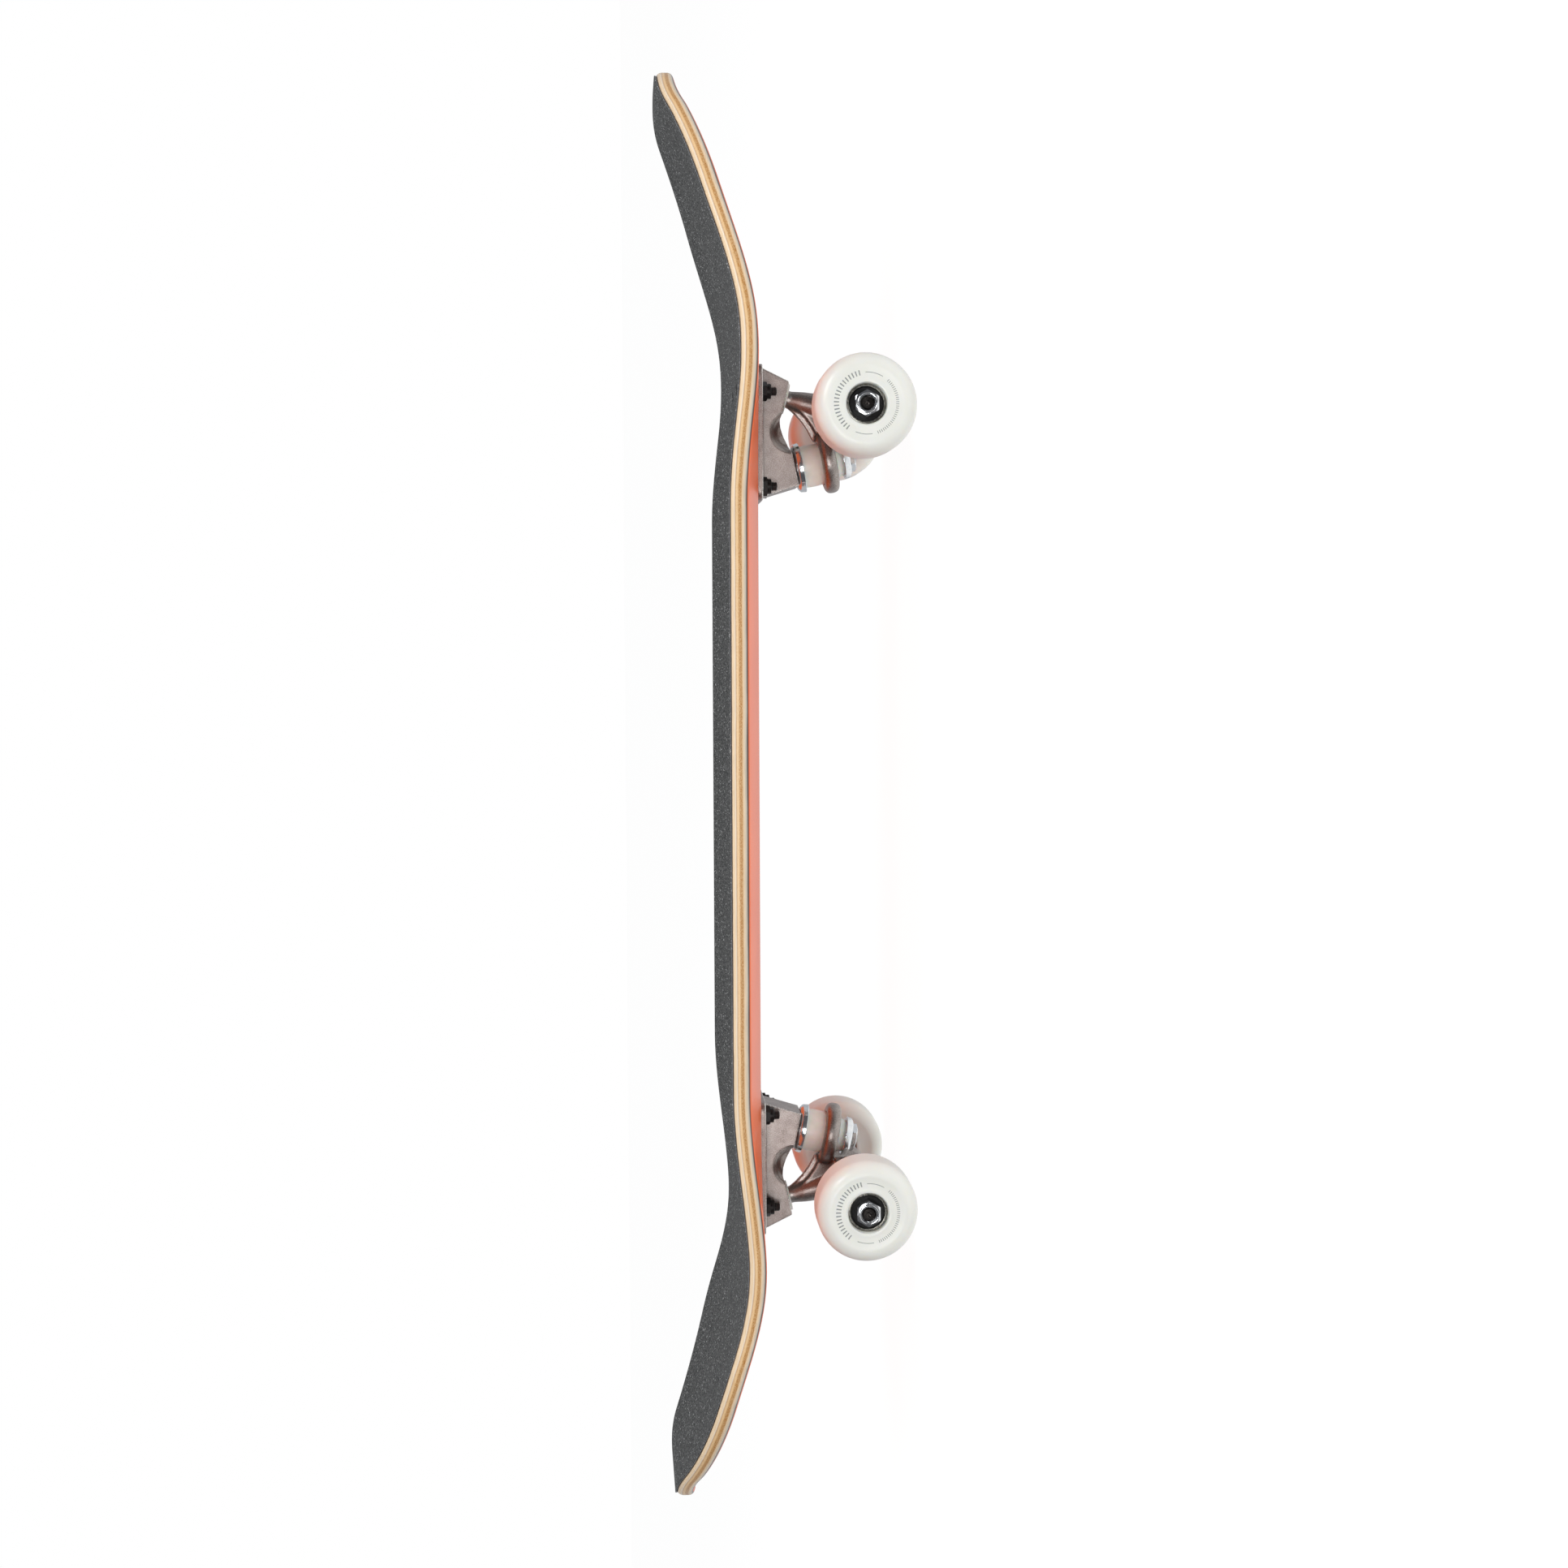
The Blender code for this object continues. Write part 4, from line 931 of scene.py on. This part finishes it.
def hanger_mesh():
    half = RING_THICKNESS / 2.0
    base = lathe("ring", rounded(mirrored([(0.0, half), (RING_RADIUS, half, 4.0)]), 6), 72)
    base.transform(axis_frame(RING_POINT, KINGPIN_DIRECTION))

    along = (AXLE_POINT - RING_POINT).normalized()
    across = Vector((0.0, 1.0, 0.0))
    arm_frame = Matrix((along, across, along.cross(across))).transposed().to_4x4()
    arm_frame.translation = RING_POINT * MM
    span = (AXLE_POINT - RING_POINT).length
    outline = [(4.0, -9.0), (span * 0.5, -10.0), (span * 0.75, -19.0)]
    outline += [(span - 3.0, -46.0), (span + 2.0, -46.0)]
    arm = prism("arm", mirrored(outline), -4.2, 4.2)

    end = HANGER_HALF_WIDTH
    beam = [(0.0, -end), (7.8, -end, 0.8), (8.8, -60.0), (11.0, -22.0, 10.0), (11.0, 22.0, 10.0)]
    beam = rounded(beam + [(8.8, 60.0), (7.8, end, 0.8), (0.0, end)], 4)

    ball = PIVOT_BALL_RADIUS
    turns = [math.radians(angle) for angle in range(-75, 30, 15)]
    stem = [(0.0, -ball)] + [(ball * math.cos(turn), ball * math.sin(turn)) for turn in turns]
    stem += [(5.0, 3.6), (5.0, 7.0), (6.4, 14.0)]
    stem += [(9.0, 34.0), (8.4, 40.0), (5.0, 45.0), (0.0, 46.5)]
    gusset = [(21.0, 17.5), (17.0, 22.2), (12.3, 26.8), (7.4, 30.3), (2.0, 33.1), (-3.0, 35.4)]
    rib = gusset + [(-4.5, 44.0), (6.0, 50.0), (16.0, 50.0), (22.0, 30.0)]
    core = [(x + 1.2, z + 3.4) for x, z in gusset]
    core += [(-3.0, 44.0), (6.0, 50.0), (15.0, 50.0), (21.0, 32.0)]

    web = 2.0
    high, low = RING_HEIGHT + half, RING_HEIGHT - half
    above, below = RING_HEIGHT + web, RING_HEIGHT - web
    bore = [(0.0, high + 24.0), (14.6, high + 24.0), (14.6, high), (11.0, high), (10.6, above)]
    bore += [(7.5, above), (7.5, below), (12.4, below), (12.7, low)]
    bore += [(16.0, low - 8.0), (0.0, low - 8.0)]
    whole = combine(
        loose(base),
        ("UNION", arm, arm_frame),
        ("UNION", lathe("beam", beam, 56), BEAM_FRAME),
        ("UNION", lathe("stem", stem, 48), PIVOT_FRAME),
        ("UNION", side_plate("rib", rib, 1.9), None),
        ("UNION", side_plate("core", core, 4.6), None),
        ("DIFFERENCE", lathe("bore", bore, 64), KINGPIN_FRAME),
    )
    return as_casting(whole, HANGER_VOXEL, HANGER_PASSES)


# ---- Kingpin stack ----

LOWER_WASHER = (BOSS_HEIGHT + SEAT_GAP, BOSS_HEIGHT + 1.6)
LOWER_RIM = BOSS_HEIGHT + 4.6
UPPER_WASHER = (54.8, 56.2)
UPPER_RIM = 51.9
LOWER_BUSHING = (LOWER_WASHER[1] + SEAT_GAP, RING_HEIGHT - 2.2)
UPPER_BUSHING = (RING_HEIGHT + 2.2, UPPER_WASHER[0] - SEAT_GAP)
KINGPIN_END = 59.9


def kingpin_mesh():
    head = rounded([(0.0, 2.4), (7.2, 2.4, 0.6), (7.2, 6.2)])
    profile = head + [(KINGPIN_RADIUS, 6.2), (KINGPIN_RADIUS, 46.0)]
    profile += threads(KINGPIN_RADIUS, 48.0, KINGPIN_END - 0.8, 1.05, 0.42)
    return lathe("kingpin", profile + [(KINGPIN_RADIUS - 1.2, KINGPIN_END), (0.0, KINGPIN_END)], 56)


def cup_washer_mesh(back, front, radius, rim):
    """A dished washer, its flat between the heights back and front and its rim up to rim."""
    bore = KINGPIN_RADIUS + 0.15
    way = 1.0 if rim > back else -1.0
    profile = [(bore, back), (radius - 2.2, back, 0.8), (radius - 0.5, back + way * 1.3, 1.2)]
    profile += [(radius, rim, 0.5), (radius - 1.1, rim, 0.4)]
    profile += [(radius - 1.7, front + way * 0.9, 0.8), (radius - 3.0, front, 0.6), (bore, front)]
    return lathe("cup_washer", rounded(profile, 5), 80)


def bushing_mesh(low, high, low_radius, high_radius, bulge):
    """A urethane bushing, barrel or cone shaped, with softly rounded ends."""
    bore = KINGPIN_RADIUS + 0.3
    corners = [(bore, low), (low_radius, low, 1.0)]
    steps = 8
    for k in range(1, steps):
        t = k / steps
        radius = low_radius + (high_radius - low_radius) * t + bulge * math.sin(math.pi * t)
        corners.append((radius, low + (high - low) * t))
    corners += [(high_radius, high, 1.0), (bore, high)]
    return lathe("bushing", rounded(corners, 5), 64)


def cup_mesh():
    """The pivot cup: a urethane socket whose flange shows round the mouth of the bore."""
    socket = PIVOT_BALL_RADIUS + 0.2
    profile = [(0.0, -8.0), (8.4, -8.0), (8.4, 4.05), (8.9, 4.05, 0.2), (8.7, 5.3, 0.4)]
    profile += [(socket + 0.6, 5.4, 0.4), (socket, 4.6), (socket, 0.0)]
    turns = [math.radians(angle) for angle in range(15, 90, 15)]
    profile += [(socket * math.cos(turn), -socket * math.sin(turn)) for turn in turns]
    return lathe("pivot_cup", rounded(profile + [(0.0, -socket)], 3), 56)


# ---- Axle, wheels and bearings, on the axle's own axis ----


def axle_mesh():
    end = AXLE_HALF_LENGTH
    thread_start = 97.0
    right = [(AXLE_RADIUS, thread_start - 2.0)]
    right += threads(AXLE_RADIUS, thread_start, end - 0.6, 0.95, 0.36)
    right += [(AXLE_RADIUS - 0.9, end), (1.5, end), (0.0, end - 1.6)]
    left = [(radius, -height) for radius, height in reversed(right)]
    return lathe("axle", left + right, 48)


def wheel_mesh():
    """The urethane tyre: a rounded lip, a flat side, a raised ring round the bearing, the seats."""
    side = WHEEL_HALF_WIDTH
    seat = BEARING_RADIUS + 0.1
    lip_start, lip_width, tread = 20.4, WHEEL_RADIUS - 20.4, 8.2
    outer = [(9.4, BEARING_SEAT), (seat, BEARING_SEAT), (seat, side - 1.4)]
    outer += [(seat + 0.5, side - 0.7), (seat + 1.2, side - 0.55), (seat + 2.2, side - 0.6)]
    outer += [(seat + 3.0, side - 0.75), (lip_start - 0.8, side - 0.15)]
    steps = 18
    for k in range(steps + 1):
        angle = math.radians(90.0 * k / steps)
        radius = lip_start + lip_width * math.sin(angle)
        outer.append((radius, tread + (side - tread) * math.cos(angle)))
    return lathe("wheel", mirrored(outer), 128, 40.0)


def race_mesh():
    """The bearing's outer ring, with ground corners."""
    half = BEARING_WIDTH / 2.0
    outer = [(BEARING_RADIUS, half, 0.5), (9.5, half, 0.2), (9.3, half - 0.6)]
    return lathe("outer_race", rounded(mirrored(outer), 3), 96)


def shield_mesh():
    """Both shields and what is between them, dished a little below the race's face."""
    half = BEARING_WIDTH / 2.0
    outer = [(9.3, half - 0.35, 0.15), (8.7, half - 0.2, 0.2), (7.2, half - 0.28)]
    outer += [(6.3, half - 0.3, 0.2), (5.75, half - 0.6, 0.1)]
    return lathe("shields", rounded(mirrored(outer), 3), 96)


def sleeve_mesh():
    """Inner races, the spacer between them, and a speed washer at each end."""
    bore = AXLE_RADIUS + 0.12
    half = BEARING_SEAT + BEARING_WIDTH + 0.1
    outer = [(bore, half + 0.75), (5.6, half + 0.75, 0.15), (5.6, half + 0.05, 0.15), (5.2, half)]
    outer += [(5.6, half - 0.2, 0.2), (5.6, BEARING_SEAT, 0.2), (5.0, BEARING_SEAT)]
    return lathe("sleeve", rounded(mirrored(outer), 2), 64)


# ---- Whole truck ----


def truck_frame(end_name):
    turn_axis = "X" if end_name == "front" else "Y"
    place = shifted(TRUCK_MIDDLE[end_name], 0.0, DECK_UNDERSIDE)
    return place @ Matrix.Rotation(math.pi, 4, turn_axis)


def make_bushing(end_name, where, mesh, place):
    """A bushing in its place on the kingpin, its mesh moved into place and riding on no body."""
    node = f"{end_name}_bushing_{where}"
    obj = make_piece(f"{end_name}_urethane_{where}", mesh.copy(), "bushing", None, place, [node])
    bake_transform(obj)


def make_truck(end_name, meshes):
    truck = truck_frame(end_name)
    on_kingpin, on_pivot = truck @ KINGPIN_FRAME, truck @ PIVOT_FRAME
    body = f"{end_name}_hanger_body"

    def make(name, node, finish, matrix, rides="root"):
        replaced = [f"{end_name}_{node}"]
        make_piece(f"{end_name}_{name}", meshes[node], finish, rides, matrix, replaced)

    make("baseplate_casting", "baseplate", "cast_aluminium", truck)
    make("pivot_socket", "pivot_cup", "urethane_cup", on_pivot)
    make("king_bolt", "kingpin", "black_steel", on_kingpin)
    make("cup_washer_boardside", "washer_boardside", "zinc", on_kingpin)
    make("cup_washer_roadside", "washer_roadside", "zinc", on_kingpin)
    at_nut = on_kingpin @ shifted(0.0, 0.0, UPPER_WASHER[1] + SEAT_GAP)
    make("king_nut", "kingpin_nut", "zinc", at_nut)
    make_bushing(end_name, "boardside", meshes["bushing_boardside"], on_kingpin)
    make_bushing(end_name, "roadside", meshes["bushing_roadside"], on_kingpin)

    make("hanger_casting", "hanger", "cast_aluminium", truck, body)
    axle_place = Matrix.Translation(truck @ (AXLE_POINT * MM))
    for side_name, side in SIDES.items():
        outwards = axle_place @ Matrix.Rotation(math.radians(-90.0 * side), 4, "X")
        if side > 0.0:
            make("axle_rod", "axle", "steel", outwards, body)
        make_wheel(f"{end_name}_{side_name}", body, outwards, meshes)


def make_wheel(name, hanger_body, outwards, meshes):
    """One wheel with its bearings, sleeve and nut. The Z of outwards points away from the board."""
    hub = outwards @ shifted(0.0, 0.0, TRACK / 2.0)
    body = f"{name}_wheel_body"

    def make(piece, mesh, finish, rides, matrix, node):
        replaced = [f"{name}_{node}"]
        make_piece(f"{name}_{piece}", meshes[mesh], finish, rides, matrix, replaced)

    make("tyre", "wheel", "wheel", body, hub, "wheel")
    for where, sign in (("outboard", 1.0), ("inboard", -1.0)):
        place = hub @ shifted(0.0, 0.0, sign * (BEARING_SEAT + BEARING_WIDTH / 2.0 + 0.1))
        make(f"race_{where}", "race", "bearing", body, place, f"bearing_{where}")
        shields = (f"{name}_shields_{where}", meshes["shield"], "shield", body, place)
        make_piece(*shields, (), "bearing")
    make("sleeve", "sleeve", "steel", hanger_body, hub, "spacer_sleeve")
    at_nut = hub @ shifted(0.0, 0.0, BEARING_SEAT + BEARING_WIDTH + 0.9)
    make("hub_nut", "axle_nut", "zinc", hanger_body, at_nut, "axle_nut")


def make_trucks():
    meshes = {
        "baseplate": baseplate_mesh(),
        "hanger": hanger_mesh(),
        "pivot_cup": cup_mesh(),
        "kingpin": kingpin_mesh(),
        "kingpin_nut": nut_mesh("kingpin_nut", 14.3, 3.2, KINGPIN_RADIUS + SEAT_GAP, 0.6, 6.5),
        "washer_boardside": cup_washer_mesh(*LOWER_WASHER, 14.4, LOWER_RIM),
        "washer_roadside": cup_washer_mesh(UPPER_WASHER[1], UPPER_WASHER[0], 11.6, UPPER_RIM),
        "bushing_boardside": bushing_mesh(*LOWER_BUSHING, 11.6, 11.6, 0.6),
        "bushing_roadside": bushing_mesh(*UPPER_BUSHING, 10.2, 8.5, 0.2),
        "axle": axle_mesh(),
        "axle_nut": nut_mesh("axle_nut", 12.7, 6.6, AXLE_RADIUS + SEAT_GAP, 1.9, 5.4),
        "wheel": wheel_mesh(),
        "race": race_mesh(),
        "shield": shield_mesh(),
        "sleeve": sleeve_mesh(),
    }
    for end_name in ENDS:
        make_truck(end_name, meshes)


# ---- Stage ----

CAMERA_PLACE = (85.4, -1395.2, 166.1)
CAMERA_TURN = (-4.085, 0.457, 3.219)
CAMERA_LENS = 54.956
ROOM = (0.10, 0.10, 0.105)
BACKDROP = (0.50, 0.51, 0.53)
SOFT_LIGHT = (0.16, 0.165, 0.17)
PAPER = (1.0, 1.0, 0.99)
FLOOR_GLOW = 0.96
BACKDROP_FADE = (-0.25, 0.35)
PAPER_FADE = (-0.22, -0.50)
# (name, place, target, size and watts), in metres
LIGHTS = (
    ("front_key", (1.0, -1.5, 1.3), (0.0, 0.0, 0.07), (0.9, 0.6), 22.0),
    ("front_fill", (-0.2, -2.2, 0.22), (0.0, 0.0, 0.05), (0.8, 0.4), 11.0),
    ("overhead", (-0.5, 0.4, 1.8), (0.0, 0.0, 0.0), (1.8, 1.0), 9.0),
)


def make_floor():
    """Pale glowing paper. It takes the board's shadow and lets the world's light through."""
    work = bmesh.new()
    bmesh.ops.create_grid(work, x_segments=1, y_segments=1, size=30.0)
    floor = bpy.data.objects.new("floor", from_bmesh(work, "floor"))
    bpy.context.scene.collection.objects.link(floor)
    paper = Finish("floor_paper", (0.08, 0.08, 0.08), 0.9)
    paper.set(emission_strength=FLOOR_GLOW, specular_ior_level=0.0)
    paper.shader.inputs["Emission Color"].default_value = (1.0, 1.0, 1.0, 1.0)
    floor.data.materials.append(paper.material)
    floor.visible_glossy = False
    floor.visible_diffuse = False
    floor.visible_shadow = False


def make_world():
    """White to look at. It lights the board as a room with paper below and a lighter side behind.

    Reflections see the room's front side darker than the soft light that comes from there.
    """
    world = bpy.data.worlds.new("studio")
    bpy.context.scene.world = world
    world.use_nodes = True
    made = Nodes(world.node_tree)
    split = made.add("ShaderNodeSeparateXYZ")
    made.put(made.add("ShaderNodeTexCoord").outputs["Generated"], split.inputs["Vector"])
    path = made.add("ShaderNodeLightPath")
    near = made.mix(path.outputs["Is Glossy Ray"], SOFT_LIGHT, ROOM)
    room = made.mix(made.spread(split.outputs["Y"], *BACKDROP_FADE), near, BACKDROP)
    room = made.mix(made.spread(split.outputs["Z"], *PAPER_FADE), room, PAPER)
    shown = made.mix(path.outputs["Is Camera Ray"], room, WHITE)
    made.put(shown, made.tree.nodes["Background"].inputs["Color"])


def make_light(name, place, target, size, watts):
    data = bpy.data.lights.new(name, "AREA")
    data.shape = "RECTANGLE"
    data.size, data.size_y = size
    data.energy = watts
    light = bpy.data.objects.new(name, data)
    bpy.context.scene.collection.objects.link(light)
    light.location = place
    light.rotation_mode = "QUATERNION"
    light.rotation_quaternion = (Vector(target) - Vector(place)).to_track_quat("-Z", "Y")
    light.visible_camera = False


def make_camera():
    """The long-side view, with the nose at the top of the picture."""
    data = bpy.data.cameras.new("camera")
    data.lens = CAMERA_LENS
    data.sensor_width = 36.0
    camera = bpy.data.objects.new("camera", data)
    bpy.context.scene.collection.objects.link(camera)
    about_x, about_y, about_z = (
        Matrix.Rotation(math.radians(angle), 3, axis) for angle, axis in zip(CAMERA_TURN, "XYZ")
    )
    turn = about_z @ about_y @ about_x
    right, up, back = Vector((0.0, 0.0, -1.0)), Vector((1.0, 0.0, 0.0)), Vector((0.0, -1.0, 0.0))
    axes = Matrix((right, up, back)).transposed()
    camera.matrix_world = Matrix.Translation(Vector(CAMERA_PLACE) * MM) @ (turn @ axes).to_4x4()
    bpy.context.scene.camera = camera


make_deck()
make_mounting_hardware()
make_trucks()
make_floor()
make_world()
for light in LIGHTS:
    make_light(*light)
make_camera()
bpy.context.scene.view_settings.view_transform = "Standard"
